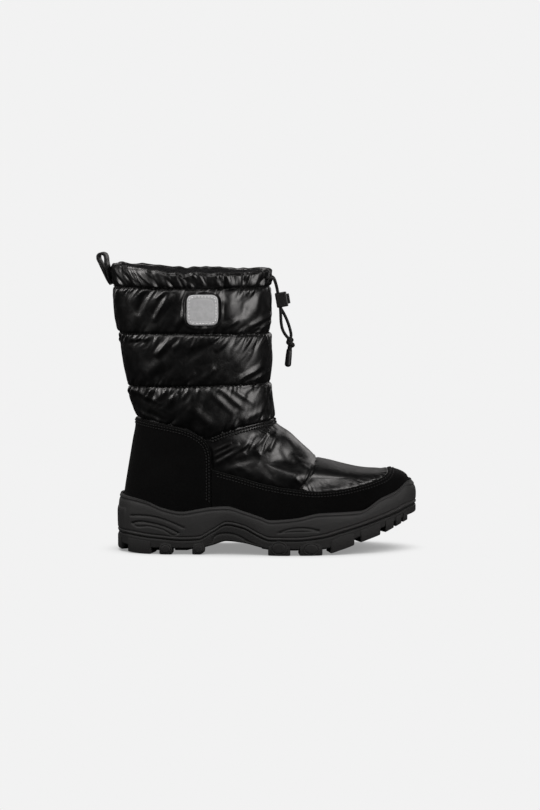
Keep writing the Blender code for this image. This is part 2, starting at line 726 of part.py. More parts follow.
def build_outsole(parts, tools, materials):
    """The tread plate with arch and toe spring, joined with its edge lugs and centre chevrons."""
    stations = sole_stations(PHASES)
    groove = sole("groove", stations) - SOLE_SEAM
    base = sole("base", stations)
    rings = [
        sole_ring(PHASES, BOTTOM_INSET - EDGE_ROUND, base),
        sole_ring(PHASES, OUTSOLE_REACH - EDGE_ROUND, base),
        sole_ring(PHASES, OUTSOLE_REACH, base + EDGE_ROUND),
        sole_ring(PHASES, OUTSOLE_REACH, groove - EDGE_ROUND),
        sole_ring(PHASES, SIDE_REACH[0], groove),
        sole_ring(PHASES, BOTTOM_INSET, interface_height(stations) - SOLE_SEAM),
    ]
    outsole = ring_stack("outsole", rings, parts, materials["rubber"], capped=True)
    points = []
    faces = []
    for rows in edge_lugs() + [chevron_points(x) for x in CHEVRONS_X]:
        faces += bar_faces(len(points), len(rows) // 4)
        points += rows
    lugs = mesh_object("tread_lugs", points, faces, tools, materials["rubber"])
    make_tool(lugs)
    boolean(outsole, lugs, "UNION")
    return outsole


def rounded_square(half, corner, per_corner):
    """Points round a square with arcs at its corners."""
    points = []
    for turn, (sx, sy) in enumerate(((1, 1), (-1, 1), (-1, -1), (1, -1))):
        for step in range(per_corner):
            angle = 0.5 * math.pi * (turn + step / (per_corner - 1))
            points.append((sx * (half - corner) + corner * math.cos(angle),
                           sy * (half - corner) + corner * math.sin(angle)))
    return points


def shell_at(x, z, distance):
    """A point over the outer side of the upper, from its place in the side view."""
    level = TOP_LEVEL - 1.0
    for _ in range(6):
        share = (x - section("x_mid", level)) / (section("x_front", level) - section("x_mid", level))
        behind = (x - section("x_mid", level)) / (section("x_mid", level) - section("x_back", level))
        phase = np.array([-math.acos(share if share >= 0.0 else behind)])
        level = float(level_where(phase, lambda place: z + 0.0 * place)[0])
    return offset_shell(phase, np.array([level]), np.array([distance]))[0]


def build_badge(parts, materials):
    """The square patch on the outer side of the shaft."""
    outline = rounded_square(BADGE_HALF, BADGE_CORNER, BADGE_CORNER_POINTS)
    lift = SHAFT_PUFF + GAP
    points = [shell_at(BADGE_X, BADGE_Z, lift)]
    for share in (0.5, 1.0):
        points += [shell_at(BADGE_X + share * dx, BADGE_Z + share * dz, lift) for dx, dz in outline]
    count = len(outline)
    faces = [(0, 1 + i, 1 + (i + 1) % count) for i in range(count)]
    faces += ring_faces(1 + count, 1, count)
    badge = mesh_object("badge_patch", points, faces, parts, materials["badge"], closed=False)
    thicken(badge, BADGE_THICKNESS)
    return badge


def build_pull_loop(parts, materials):
    """The webbing loop sewn in at the back of the cuff seam."""
    curve = bpy.data.curves.new("pull_loop", "CURVE")
    curve.dimensions = "2D"
    curve.fill_mode = "BOTH"
    curve.extrude = 0.5 * LOOP_WIDTH * MM
    curve.resolution_u = 3
    for outline in (LOOP_OUTER, LOOP_INNER):
        spline = curve.splines.new("BEZIER")
        spline.bezier_points.add(len(outline) - 1)
        spline.use_cyclic_u = True
        for knot, (x, z) in zip(spline.bezier_points, outline):
            knot.co = (x * MM, z * MM, 0.0)
            knot.handle_left_type = "AUTO"
            knot.handle_right_type = "AUTO"
    item = bpy.data.objects.new("pull_loop", curve)
    item.rotation_euler = (0.5 * math.pi, 0.0, 0.0)
    return finish_object(item, parts, materials["cord"])


def lock_place(local):
    """A point of the cord lock in the boot's frame."""
    x, y, z = local
    cosine = math.cos(LOCK_TILT)
    sine = math.sin(LOCK_TILT)
    turned = (x * cosine - z * sine, y, x * sine + z * cosine)
    return tuple(centre + value for centre, value in zip(LOCK_CENTRE, turned))


def cuff_point(cosine, side, z, lift):
    """A point over the cuff near its front, at a height and a lift over the stuffed face."""
    phase = np.array([side * math.acos(cosine)])
    level = level_where(phase, lambda x: z + 0.0 * x)
    return offset_shell(phase, level, np.array([CUFF_PUFF + lift]))[0]


def strand_route(side, fall):
    """Route of one drawcord strand: out of the cuff, through the lock and down to the knot."""
    clear = 0.5 * CORD_DIAMETER + GAP
    half = 0.5 * LOCK_SIZE[2]
    spread = side * CORD_SPACING
    over_cuff = [cuff_point(cosine, side, CORD_EXIT_Z - drop, clear + lift)
                 for cosine, drop, lift in CORD_OVER_CUFF]
    in_lock = [lock_place((LOCK_CORD_X, spread, height)) for height in (half + LOCK_APPROACH, half, -half)]
    return over_cuff + in_lock + [(x, spread, z) for x, z in fall]


def build_cord(parts, materials):
    """The two strands of the drawcord, the knot that joins them and the sleeved end below it."""
    for name, (side, fall) in STRANDS.items():
        points = smooth_route(strand_route(side, fall), CORD_POINT_SPACING)
        tube_object(name, points, CORD_DIAMETER, parts, materials["cord"])
    bpy.ops.mesh.primitive_uv_sphere_add(segments=12, ring_count=8, radius=1.0)
    knot = bpy.context.active_object
    knot.name = "drawcord_knot"
    knot.data.transform(Matrix.Diagonal((*[radius * MM for radius in KNOT_RADII], 1.0)))
    knot.location = [value * MM for value in KNOT_CENTRE]
    finish_object(knot, parts, materials["cord"])
    run = [end - start for start, end in zip(CORD_END_BOTTOM, CORD_END_TOP)]
    length = math.hypot(*run)
    bpy.ops.mesh.primitive_cylinder_add(vertices=14, radius=0.5 * CORD_END_DIAMETER * MM, depth=length * MM)
    sleeve = bpy.context.active_object
    sleeve.name = "drawcord_end"
    sleeve.location = [0.5 * (start + end) * MM for start, end in zip(CORD_END_BOTTOM, CORD_END_TOP)]
    sleeve.rotation_euler = (0.0, math.atan2(run[0], run[2]), 0.0)
    rounding = sleeve.modifiers.new("rounding", "BEVEL")
    rounding.width = CORD_END_ROUND * MM
    rounding.segments = 2
    finish_object(sleeve, parts, materials["cord"])


def build_cord_lock(parts, tools, materials):
    """The cord lock: a block with a cord slot and a pocket, and the push button that slides in the pocket."""
    frame = bpy.data.objects.new("cord_lock_frame", None)
    frame.location = [value * MM for value in LOCK_CENTRE]
    frame.rotation_euler = (0.0, -LOCK_TILT, 0.0)
    parts.objects.link(frame)
    body = box_object("cord_lock_body", LOCK_SIZE, (0.0, 0.0, 0.0), parts, materials["plastic"], LOCK_BEVEL)
    slot = box_object("cord_slot", (*LOCK_SLOT, 2.0 * LOCK_SIZE[2]), (LOCK_CORD_X, 0.0, 0.0), tools,
                      materials["plastic"])
    face = 0.5 * LOCK_SIZE[0]
    pocket_size = (2.0 * LOCK_POCKET_DEPTH, LOCK_POCKET[1], LOCK_POCKET[0])
    pocket = box_object("button_pocket", pocket_size, (face, 0.0, 0.0), tools, materials["plastic"])
    button_size = (BUTTON_LENGTH, LOCK_POCKET[1] - 2.0 * GAP, LOCK_POCKET[0] - 2.0 * GAP)
    button_place = (face + BUTTON_PROUD - 0.5 * BUTTON_LENGTH, 0.0, 0.0)
    button = box_object("cord_lock_button", button_size, button_place, parts, materials["plastic"],
                        0.5 * LOCK_BEVEL)
    for tool in (slot, pocket):
        make_tool(tool)
        boolean(body, tool, "DIFFERENCE")
    for item in (body, button, slot, pocket):
        item.parent = frame


def make_collection(name):
    """A collection in the scene."""
    collection = bpy.data.collections.new(name)
    bpy.context.scene.collection.children.link(collection)
    return collection


def main():
    """Build the boot in an empty scene."""
    for item in list(bpy.data.objects):
        bpy.data.objects.remove(item)
    parts = make_collection("quilted_winter_boot")
    tools = make_collection("quilted_winter_boot_tools")
    materials = {name: make_material(name) for name in COLOURS}
    build_outsole(parts, tools, materials)
    build_midsole(parts, tools, materials)
    build_insole(parts, materials)
    build_upper(parts, materials)
    build_counter(parts, materials)
    build_rand(parts, materials)
    build_cuff(parts, materials)
    build_badge(parts, materials)
    build_pull_loop(parts, materials)
    build_cord(parts, materials)
    build_cord_lock(parts, tools, materials)


main()
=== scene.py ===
"""Finished surfaces of a quilted winter boot for the right foot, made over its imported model.

+X points to the toe, +Y to the inner side of the foot and +Z up; the floor is at z = 0. The tables are in
millimetres, and the meshes are made in metres.
"""

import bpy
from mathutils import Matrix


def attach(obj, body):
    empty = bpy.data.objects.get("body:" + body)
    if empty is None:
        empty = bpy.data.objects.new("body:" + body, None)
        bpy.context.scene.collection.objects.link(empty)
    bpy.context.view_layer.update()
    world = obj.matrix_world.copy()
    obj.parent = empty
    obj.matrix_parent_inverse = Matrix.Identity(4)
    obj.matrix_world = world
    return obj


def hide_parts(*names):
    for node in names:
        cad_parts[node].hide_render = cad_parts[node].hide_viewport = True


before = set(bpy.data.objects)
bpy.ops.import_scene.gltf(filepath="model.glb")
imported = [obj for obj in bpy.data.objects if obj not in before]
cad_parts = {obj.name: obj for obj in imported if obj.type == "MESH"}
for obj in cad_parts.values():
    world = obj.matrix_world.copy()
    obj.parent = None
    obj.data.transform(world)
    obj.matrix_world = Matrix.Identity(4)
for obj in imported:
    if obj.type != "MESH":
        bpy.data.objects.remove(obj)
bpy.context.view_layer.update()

import math

import bmesh
import bpy
import numpy as np
from bpy.props import FloatProperty, FloatVectorProperty, PointerProperty
from mathutils import Vector

bl_info = {
    "name": "Quilted Winter Boot",
    "version": (1, 0, 0),
    "blender": (4, 5, 0),
    "location": "View3D > Sidebar > Boot",
    "description": "Builds the finished surfaces of a quilted winter boot over its packed model",
    "category": "Add Mesh",
}

MM = 0.001
BOOT_BODY = "boot"

# Welding of seams and poles in metres, and the angle from which the edges of the lugs stay sharp
WELD_DISTANCE = 0.000002
LEAST_EDGE = 0.0000005
SHARP_ANGLE = math.radians(50.0)

# Walls and clearances
GAP = 0.3
WALL = 2.6
LEATHER = 1.5
LEATHER_FACE = GAP + LEATHER
INSOLE_THICKNESS = 4.0
INSOLE_SHRINK = 0.985
INSOLE_DISH = 0.14
PANEL_START = 0.25
PANEL_BUTT = 0.3
VAMP_LEAST_LEVELS = 0.6

# Sections of the upper from the feather line to the collar: heights and lengths at the back and the front of
# each section, the place and size of its half width, how square it is, and how far it follows ball and bed
SECTION_COLUMNS = ("z_back", "x_back", "z_front", "x_front", "x_mid", "half_width",
                   "front_square", "back_square", "ball_share", "bed_share")
SECTIONS = {
    "feather":   (27.9, -115.0, 39.9, 131.5, -40.3, 31.0, 2.5, 2.9, 1.0, 1.0),
    "wall":      (45.0, -118.0, 52.0, 137.2, -40.3, 35.0, 2.5, 2.8, 1.0, 0.6),
    "toe_box":   (58.0, -116.6, 64.5, 134.5, -40.3, 36.5, 2.4, 2.8, 1.0, 0.25),
    "toe_cap":   (65.0, -115.5, 70.6, 121.5, -40.3, 36.6, 2.3, 2.7, 1.0, 0.0),
    "vamp":      (74.0, -114.0, 73.2, 96.0, -40.3, 36.6, 2.2, 2.6, 0.95, 0.0),
    "vamp_seam": (86.0, -112.0, 80.4, 54.0, -40.3, 37.0, 2.1, 2.5, 0.75, 0.0),
    "instep":    (99.0, -109.8, 96.5, 35.0, -40.3, 38.5, 2.1, 2.4, 0.4, 0.0),
    "crease":    (113.5, -107.3, 113.5, 14.5, -41.5, 40.5, 2.1, 2.35, 0.1, 0.0),
    "ankle":     (122.0, -107.5, 122.5, 13.0, -44.0, 42.0, 2.1, 2.3, 0.0, 0.0),
    "low_seam":  (149.5, -113.7, 153.5, 11.3, -50.0, 44.0, 2.2, 2.3, 0.0, 0.0),
    "top_seam":  (198.8, -122.5, 198.6, 11.2, -55.5, 46.5, 2.2, 2.3, 0.0, 0.0),
    "cuff_seam": (239.5, -128.0, 239.0, 11.2, -58.5, 47.6, 2.2, 2.3, 0.0, 0.0),
    "collar":    (257.0, -128.6, 254.5, 10.0, -59.0, 46.6, 2.2, 2.3, 0.0, 0.0),
}
WALL_LEVEL = 1.0
TOP_LEVEL = len(SECTIONS) - 1.0
TOP_SEAM_LEVEL = 10.0

# Plan of the last along the foot: widening of each side over the waist, and the swing of the toe inwards
PLAN_COLUMNS = ("x", "outer", "inner", "swing")
PLAN = (
    (-125.0, 1.05, 1.05, 0.0),
    (-90.0, 1.05, 1.03, 0.0),
    (-45.0, 1.00, 0.95, 0.0),
    (-10.0, 1.12, 1.00, 0.3),
    (30.0, 1.36, 1.20, 1.3),
    (60.0, 1.40, 1.34, 2.8),
    (95.0, 1.36, 1.38, 5.0),
    (140.0, 1.30, 1.38, 8.0),
)

# Heights of the sole along the foot: top edge, groove of the side, foot bed, tread base and lug tips
SOLE_COLUMNS = ("x", "top", "groove", "bed", "base", "tip")
SOLE = (
    (-126.0, 51.0, 17.5, 28.0, 9.0, 5.0),
    (-112.0, 49.8, 16.4, 27.5, 6.5, 1.0),
    (-98.0, 47.0, 14.8, 27.0, 5.2, 0.0),
    (-84.0, 41.5, 13.6, 26.8, 5.2, 0.0),
    (-67.0, 38.1, 12.3, 26.4, 5.2, 0.0),
    (-53.0, 40.1, 12.8, 26.0, 5.2, 0.0),
    (-40.0, 42.1, 19.0, 25.5, 8.0, 5.0),
    (-26.0, 42.9, 26.3, 24.8, 12.0, 9.0),
    (-12.0, 39.2, 23.5, 23.3, 10.7, 7.0),
    (4.0, 34.1, 15.7, 20.5, 7.0, 2.0),
    (12.0, 31.4, 12.9, 19.0, 5.2, 0.0),
    (35.0, 33.2, 12.9, 17.6, 5.2, 0.0),
    (57.0, 37.4, 15.0, 18.6, 5.2, 0.0),
    (75.0, 37.8, 19.7, 21.6, 9.6, 4.6),
    (92.0, 38.6, 24.5, 26.0, 15.6, 10.6),
    (110.0, 48.6, 30.3, 32.0, 22.0, 17.0),
    (124.0, 54.4, 35.2, 37.0, 28.5, 24.0),
    (134.0, 61.0, 39.5, 40.2, 32.3, 29.0),
    (144.0, 60.6, 41.5, 42.0, 34.5, 32.0),
)

# Seams and edges of the upper, each as (x, z) points of its side view
EDGES = {
    "ankle_seam": ((-112, 120.5), (-97, 118.6), (-69, 113.8), (-55, 108.6), (-44, 102.0), (-28, 107.0),
                   (0, 113.5), (16, 116.0)),
    "low_seam": ((-117, 148.0), (-60, 150.3), (14, 151.2)),
    "top_seam": ((-125, 196.0), (-60, 197.2), (12, 195.6)),
    "cuff_seam": ((-130, 237.9), (-60, 237.2), (12, 237.3)),
    "collar": ((-130, 256.6), (-102, 253.8), (-60, 250.8), (-20, 250.4), (12, 251.4)),
    "counter_top": ((-112, 119.9), (-97, 118.0), (-69, 113.2), (-55, 108.0), (-48, 103.5), (-42.5, 96.0),
                    (-40.3, 88.0)),
    "rand_top": ((-40, 75.6), (-18, 70.0), (8, 63.0), (35, 58.6), (53, 56.7), (71, 57.6), (97, 62.2),
                 (112, 66.5), (117.5, 69.5), (122, 80.0)),
    "vamp_join": ((34.8, 56.0), (38.4, 60.5), (44.2, 67.5), (49.2, 75.0), (52.8, 82.0), (54.2, 90.0)),
}
COUNTER_FRONT_X = -40.3

# Profile of the sole's side: reach beyond the leather at shares of the height from groove to top edge
SIDE_SHARE = (0.0, 0.12, 0.5, 0.78, 1.0)
SIDE_REACH = (3.6, 4.6, 4.9, 4.3, 2.6)
RIM_THICKNESS = 2.6
CUP_CLEARANCE = 0.6
BED_THICKNESS = 5.0
BOTTOM_INSET = -6.0
OUTSOLE_REACH = 4.7
EDGE_ROUND = 1.5
SOLE_SEAM = 0.2
SIDE_ROWS = 64
SIDE_START = 0.985
RIM_RISE = 0.7
TIP_X = 122.0
TIP_LENGTH = 14.0
TIP_RIM_DRAW = 0.9
TIP_SIDE_DRAW = 1.8

# Bands along the side of the sole: the edge they follow, distance from it, height, half width and steepness
SIDE_BANDS = (
    ("top", 1.2, 0.55, 1.1, 4),
    ("top", 3.4, -0.35, 0.9, 2),
    ("groove", 3.2, -0.7, 0.7, 2),
    ("groove", 1.4, 0.35, 1.0, 4),
)
HEEL_BAND_X = -118.0
HEEL_BAND_WIDTH = 0.8
HEEL_BAND_HEIGHT = 0.8
HEEL_BAND_SPAN = (14.0, 40.0)

# Grooves moulded in the side of the sole: (x, z) points, depth and half width
SIDE_GROOVES = (
    (((-112.0, 33.5), (-100.0, 34.0), (-88.0, 32.5), (-76.0, 28.6), (-65.0, 23.8)), 1.1, 0.9),
    (((-111.0, 27.0), (-106.0, 28.3), (-94.0, 27.6), (-82.0, 24.8), (-70.0, 19.3)), 1.2, 0.9),
    (((-70.0, 19.3), (-72.0, 17.6), (-84.0, 22.2), (-96.0, 24.8), (-109.0, 25.0), (-111.0, 27.0)), 0.7, 0.8),
    (((20.0, 20.5), (26.0, 22.9), (38.0, 24.6), (47.0, 24.0), (55.0, 22.2)), 1.1, 0.9),
    (((20.0, 20.5), (34.0, 21.4), (46.0, 21.6), (55.0, 22.2)), 0.5, 0.7),
)

# Lugs on both edges of the tread: start and end along the foot, and how far their side is domed
LUGS = (
    (-112.0, -93.0, 0.0),
    (-86.0, -75.0, 1.0),
    (-57.5, -46.0, 1.0),
    (11.0, 30.0, 1.0),
    (38.0, 58.0, 1.0),
    (65.0, 86.0, 0.35),
    (91.0, 109.0, 0.2),
    (112.6, 120.6, 0.2),
    (121.6, 127.0, 0.2),
    (128.0, 132.0, 0.2),
)
REAR_LUG_X = -116.5
REAR_LUG_DEPTH = 9.0
LUG_REACH = 5.4
LUG_DEPTH = 13.0
LUG_SIDE_DROP = 2.5
LUG_ROOT = 1.5
LUG_SHOULDER = 3.3
LUG_ROUND = 0.9
LUG_STATIONS = 15
LUG_DOME_POWER = 2.4
REAR_LUG_STATIONS = 25
BAR_END = 0.86

# Knobs on the side of the lugs: place along the foot, half width and half height, and their profile as shares
# of that size and of their rise
KNOBS = ((-80.5, 5.4, 5.0), (-51.7, 5.4, 5.0), (20.5, 7.6, 6.6), (48.0, 7.8, 6.0))
KNOB_RISE = 0.9
KNOB_DEPTH = 5.0
KNOB_PROFILE = ((0.0, 1.0), (0.5, 0.85), (0.7, 0.7), (0.76, 0.2), (0.82, 0.55), (0.94, 0.4), (1.0, -0.2))

# Line over the arch in the side of the tread, as (x, z) points
ARCH_LINE_WIDTH = 0.9
ARCH_PANEL = ((-40.8, 9.7), (-37.2, 16.2), (-27.2, 19.0), (-17.7, 17.7), (-6.4, 11.9), (2.1, 8.3))

# Chevrons in the middle of the tread
CHEVRONS_X = (-98.0, -80.0, -62.0, 16.0, 37.0, 58.0, 79.0, 100.0)
CHEVRON_WIDTH_SHARE = 0.36
CHEVRON_SWEEP = 7.0
CHEVRON_THICKNESS = 12.0
CHEVRON_STATIONS = 13

# Badge on the outer side of the top baffle
BADGE_X = -48.0
BADGE_Z = 219.0
BADGE_HALF = 13.6
BADGE_THICKNESS = 1.2
BADGE_LIFT = 2.6
BADGE_SQUARE = 5.5
BADGE_POINTS = 96
BADGE_RINGS = (0.0, 0.2, 0.4, 0.6, 0.66, 0.69, 0.72, 0.75, 0.78, 0.84, 0.9, 0.94, 0.97, 0.985, 0.995, 1.0)
BADGE_BACK_RINGS = (0.995, 0.6, 0.0)
BADGE_BACK = 0.9
BADGE_RIM = 0.92
BADGE_SEAM = 0.86
BADGE_BED = 1.9

# Soft lines, each as heights, middles and widths of bells: pressed lines of the badge by their share of its
# size, swelling round the badge, seam at the back of the shaft, and ridge of the join on the vamp
BADGE_PRESSED = ((0.22, 0.72, 0.02), (0.18, BADGE_SEAM, 0.035))
BADGE_SWELLING = ((0.9, 3.0, 1.3), (-0.2, 5.4, 1.2))
BACK_SEAM = ((0.6, 3.6, 1.0), (-0.7, 5.6, 0.9))
JOIN_RIDGE = ((0.6, -0.8, 1.0), (-1.4, 1.0, 0.9))

# Pull loop at the back of the collar: middle line of its strap in the side view, with its thickness
LOOP_PATH = ((-130.0, 239.6, 1.3), (-132.1, 242.8, 1.5), (-132.9, 247.0, 2.4), (-134.1, 253.0, 2.9),
             (-135.4, 259.0, 2.9), (-135.7, 263.0, 2.6), (-136.8, 265.6, 2.6), (-139.4, 266.5, 2.6),
             (-142.1, 265.4, 2.6), (-142.5, 262.5, 2.5), (-140.8, 258.5, 2.5), (-138.0, 252.8, 2.9),
             (-135.4, 246.8, 2.4), (-133.4, 242.0, 1.5), (-131.2, 238.8, 1.3))
LOOP_WIDTH = 16.0
LOOP_TURN = math.radians(8.0)
LOOP_POINTS = 120
LOOP_SIDES = 36
LOOP_SQUARE = (0.35, 0.5)

# Drawcord, its lock, knot and sleeved end
CORD_DIAMETER = 2.5
CORD_POINTS = 26
CORD_FINE_POINTS = 160
CORD_SIDES = 16
CORD_PLAIT = 2.6
BRAID_STRANDS = 4.0
BRAID_FULLNESS = 1.06
BRAID_SWELL = 0.08
CORD_EXIT_Z = 245.5
CORD_SPACING = 1.55
CUFF_PUFF = 2.2
# Run over the cuff: place round its front as a cosine, drop below the exit, and lift off the cuff
CORD_OVER_CUFF = ((0.925, 0.0, 0.0), (0.975, 0.7, 0.5), (0.998, 3.2, 1.4))
# Fall of each strand from the lock to the knot: its side, and (x, z) points
STRANDS = {
    "drawcord_outer": (-1.0, ((21.6, 212.0), (21.9, 205.5), (23.2, 198.5), (26.2, 193.0), (28.9, 190.0))),
    "drawcord_inner": (1.0, ((24.4, 212.5), (27.8, 205.0), (30.0, 198.0), (30.9, 193.5), (30.7, 190.35))),
}
LOCK_CENTRE = (22.4, 0.0, 225.0)
LOCK_TILT = math.radians(10.0)
LOCK_SIZE = (10.4, 9.6, 13.0)
LOCK_CORD_X = -2.3
LOCK_APPROACH = 4.0
KNOT_CENTRE = (30.4, 0.0, 185.6)
KNOT_RADII = (3.3, 3.4, 4.4)
KNOT_CORD = 3.7
KNOT_TURNS = 1.25
KNOT_FIRST_TURN = 0.1
KNOT_TUCK = 0.55
KNOT_SINK = 0.35
KNOT_SPREAD = 0.8
KNOT_SIDES = 14
KNOT_PLAIT = 2.4
CORD_END_TOP = (29.4, 0.0, 180.4)
CORD_END_BOTTOM = (27.9, 0.0, 164.4)
CORD_END_DIAMETER = 5.2
SLEEVE_SPREAD = 0.7
SLEEVE_DEPTH = 1.0
SLEEVE_WAIST = ((0.0, 0.8), (0.03, 0.94), (0.12, 1.02), (0.4, 1.08), (0.8, 1.12), (1.0, 1.12))
SLEEVE_RINGS = (0.1, 0.16, 0.22)
SLEEVE_RING_DEPTH = 0.06
SLEEVE_RING_WIDTH = 0.012
SLEEVE_TIP = 0.86
SLEEVE_SIDES = 28

# Columns and rows of the larger surfaces
SHAFT_COLUMNS = (156, 188)
SHAFT_ROWS = (40, 46, 40)
VAMP_COLUMNS = (40, 310)
VAMP_ROWS = 110
CUFF_COLUMNS = (150, 170)
SOLE_RING = (130, 280)

# Gathers along a seam: pitch round the boot, height, and reach away from the seam; then their lean, the
# length of their wander, their own length in pitches, how round the pinched lines are, and their mean height
GATHERS_BELOW = ((4.8, 1.20, 5.0), (8.5, 1.80, 9.0), (16.0, 1.60, 18.0))
GATHERS_ABOVE = ((4.8, 0.90, 3.5), (8.5, 1.10, 6.5), (16.0, 1.10, 12.0))
GATHERS_CUFF = ((4.2, 1.00, 9.0), (7.0, 1.40, 14.0), (13.0, 1.20, 30.0))
GATHER_LEAN = 0.7
GATHER_WANDER = 11.0
GATHER_LENGTH = 3.2
GATHER_PINCH = 0.004
GATHER_MEAN = 0.38

# Inner side of the boot: how far its creases are set back and down, their height, and the width of the change
INNER_SHIFT = (11.0, 3.0)
INNER_HEIGHT = 0.8
INNER_CHANGE = 16.0

# Shaft: rise from the lower and the upper seam of a baffle, dip at the seams, slow slanted folds
LOW_RISE = 6.0
HIGH_RISE = 5.0
SEAM_DIP = 0.7
SEAM_DIP_WIDTH = 1.5
SLANT_PITCH = 19.0
SLANT_HEIGHT = 0.75
SLANT_LEAN = 0.9
SLANT_LENGTH = 26.0
SHAFT_TUCK = 0.9

# Cuff: lean of its gathers along the foot, waves of its rim as heights, cells and seeds, tuck and rim
CUFF_LEAN = ((-110.0, 0.8), (-50.0, 0.5), (0.0, -0.4))
CUFF_WAVES = ((0.8, 30, 71), (0.6, 63, 72))
CUFF_ROWS = 30
CUFF_TUCK_X = -64.0
CUFF_TUCK_DEPTH = 2.4
CUFF_TUCK_WIDTH = 4.0
CUFF_FOLD = 0.8
CUFF_VALLEY = 0.6
CUFF_VALLEY_WIDTH = 1.3
CUFF_RIM_RISE = 1.5
CUFF_WAVE_OUTSIDE = 0.9
CUFF_WAVE_INSIDE = 0.6
CUFF_LINING_FALL = 14.0

# Vamp: hem, fill of the ankle's front, flattening and sinking of the toe panel, crumples and puckers
HEM = 2.6
HEM_ON_VAMP = 0.7
HEM_START_X = -46.0
FRONT_FILL = 2.6
FRONT_FILL_WIDTH = 14.0
FRONT_X = -14.0
FRONT_LENGTH = 26.0
INSTEP_FILL = (2.2, 18.0, 10.0)
JOIN_SLANT = 0.86
JOIN_CHANGE = 0.7
VAMP_RISE = 5.0
TOE_FLAT_X = 122.0
TOE_FLAT_LENGTH = 35.0
TOE_SINK_X = 106.0
TIP_SINK_X = 66.0
SINK_LENGTH = 40.0
TOE_ROUNDS = 120
TOE_SINK = 5.0
TOE_SHOULDER = 11.0
TIP_SINK = 3.0
INSTEP_BULGE = 2.5
INSTEP_BULGE_BEHIND = 7.0
INSTEP_BULGE_WIDTH = 8.5
CRUMPLE_PITCH = 17.0
CRUMPLE_LENGTH = 15.0
PUCKERS = ((3.1, 1.10, 2.8), (7.6, 0.4, 5.0))
PINCH_X = 10.0
PINCH_WIDTH = 9.0
TOE_LINING = 3.0
TOE_LINING_X = 45.0
TOE_LINING_LENGTH = 20.0

# Suede panels: node, top edge, ends as multiples of pi, columns, share of the close ones, butt and rows
SUEDE_PANELS = {
    "suede_counter": ("heel_counter", "counter_top", (-1.5, -0.5), 260, 0.006, -PANEL_BUTT, 70),
    "suede_rand": ("rand", "rand_top", (-0.5, 0.5), 420, 0.003, PANEL_BUTT, 60),
}
CLOSE_COLUMNS = (0.0, 0.15, 0.35, 0.6, 0.9, 1.3, 1.8)
CLOSE_END = 2.6
PANEL_TOP_SHARE = 0.985
PANEL_TOP_ROWS = 7
PANEL_ROUND = 1.1

# Stitches: shares of the length and of the radius along one stitch; insets of the double rows and the rest of
# their sizes; length, pitch and radius of the quilting, the ankle's and the badge's stitches
STITCH_SHARES = (-0.5, -0.42, -0.2, 0.2, 0.42, 0.5)
STITCH_WIDTHS = (0.0, 0.75, 1.0, 1.0, 0.75, 0.0)
STITCH_SIDES = 6
STITCH_DIP = 1.6
SUEDE_INSETS = (2.0, 4.4)
SUEDE_STITCH_LIFT = 0.12
SUEDE_STITCH_SPACE = 0.5
SUEDE_STITCH_RADIUS = 0.45
QUILT_STITCH = (2.6, 3.4, 0.35)
QUILT_STITCH_LIFT = 0.1
ANKLE_STITCH = (2.7, 2.7, 0.9)
ANKLE_STITCH_LIFT = 0.5
ANKLE_SHIFTS = (-1.5, 1.2)
BADGE_STITCH = (2.1, 2.9, 0.32)
BADGE_STITCH_LIFT = 0.05

# Main creases of the outer side: two (x, z) ends, half width and height of each ridge or trough
SHAFT_CREASES = (
    (-91, 208, -75, 235, 3.2, 1.25), (-89, 228, -78, 239, 2.4, 0.90), (-106, 214, -96, 236, 4.0, -0.80),
    (-72, 203, -58, 222, 4.5, 0.80), (-31, 201, -16, 211, 3.0, 0.90), (-8, 203, 12, 213, 2.8, 1.00),
    (-2, 200, 13, 206, 2.4, 0.90), (-21, 237, -25, 209, 6.5, 0.90), (-9, 236, -13, 211, 4.5, -0.70),
    (1, 236, -2, 214, 4.0, 0.60), (-33, 238, -30, 224, 3.0, 0.60), (-115, 192, -93, 194, 2.4, 0.90),
    (-115, 187, -97, 191, 2.4, -0.80), (-89, 177, -74, 197, 3.8, 1.70), (-74, 184, -60, 195, 4.0, 1.25),
    (-58, 184, -51, 195, 2.6, 0.80), (-37, 182, -25, 194, 3.2, 0.95), (-67, 172, -40, 190, 5.5, -0.90),
    (-28, 192, -14, 162, 9.0, 0.50), (-51, 154, -37, 168, 3.6, 0.95), (-63, 153, -54, 164, 3.0, 0.75),
    (-18, 155, 4, 168, 3.2, 0.95), (-4, 153, 10, 163, 2.8, 0.80), (-100, 160, -72, 178, 7.0, 0.70),
    (-111, 147, -87, 137, 3.0, 0.95), (-98, 138, -91, 150, 3.4, 1.30), (-87, 139, -78, 151, 2.8, 1.30),
    (-76, 137, -67, 150, 2.8, 1.20), (-66, 139, -58, 150, 2.6, 0.85), (-45, 150, -20, 125, 3.4, 0.50),
    (-35, 151, -11, 129, 2.6, 0.60), (-26, 152, -3, 134, 2.4, 0.65), (-108, 130, -92, 119, 2.8, 0.90),
    (-96, 128, -78, 117, 3.2, -0.80), (-60, 134, -36, 112, 6.0, 0.80), (-14, 118, 8, 130, 4.0, 0.70),
)
VAMP_CREASES = (
    (-40, 79, -4, 101, 2.8, 0.90), (-40, 86, -15, 99, 2.4, 0.85), (-39, 92, -22, 100, 2.0, 0.75),
    (-36, 77, 2, 88, 4.5, -0.90), (-3, 95, 11, 109, 3.0, 1.15), (4, 89, 9, 105, 2.6, -1.05),
    (10, 91, 17, 108, 3.0, 0.95), (-10, 90, -1, 107, 3.2, -0.90), (14, 80, 44, 62, 6.0, 0.50),
    (20, 95, 34, 76, 4.0, -0.60), (2, 82, 22, 64, 4.5, -0.80), (28, 88, 46, 71, 3.2, 0.55),
    (-24, 83, -2, 70, 4.0, 0.60), (33, 70, 42, 60, 2.4, 0.70), (22, 104, 34, 90, 3.6, 0.50),
)

# Shape of a crease: power of its taper to both ends, and depth of the dips at its sides
CREASE_TAPER = 0.7
CREASE_DIP = 0.9

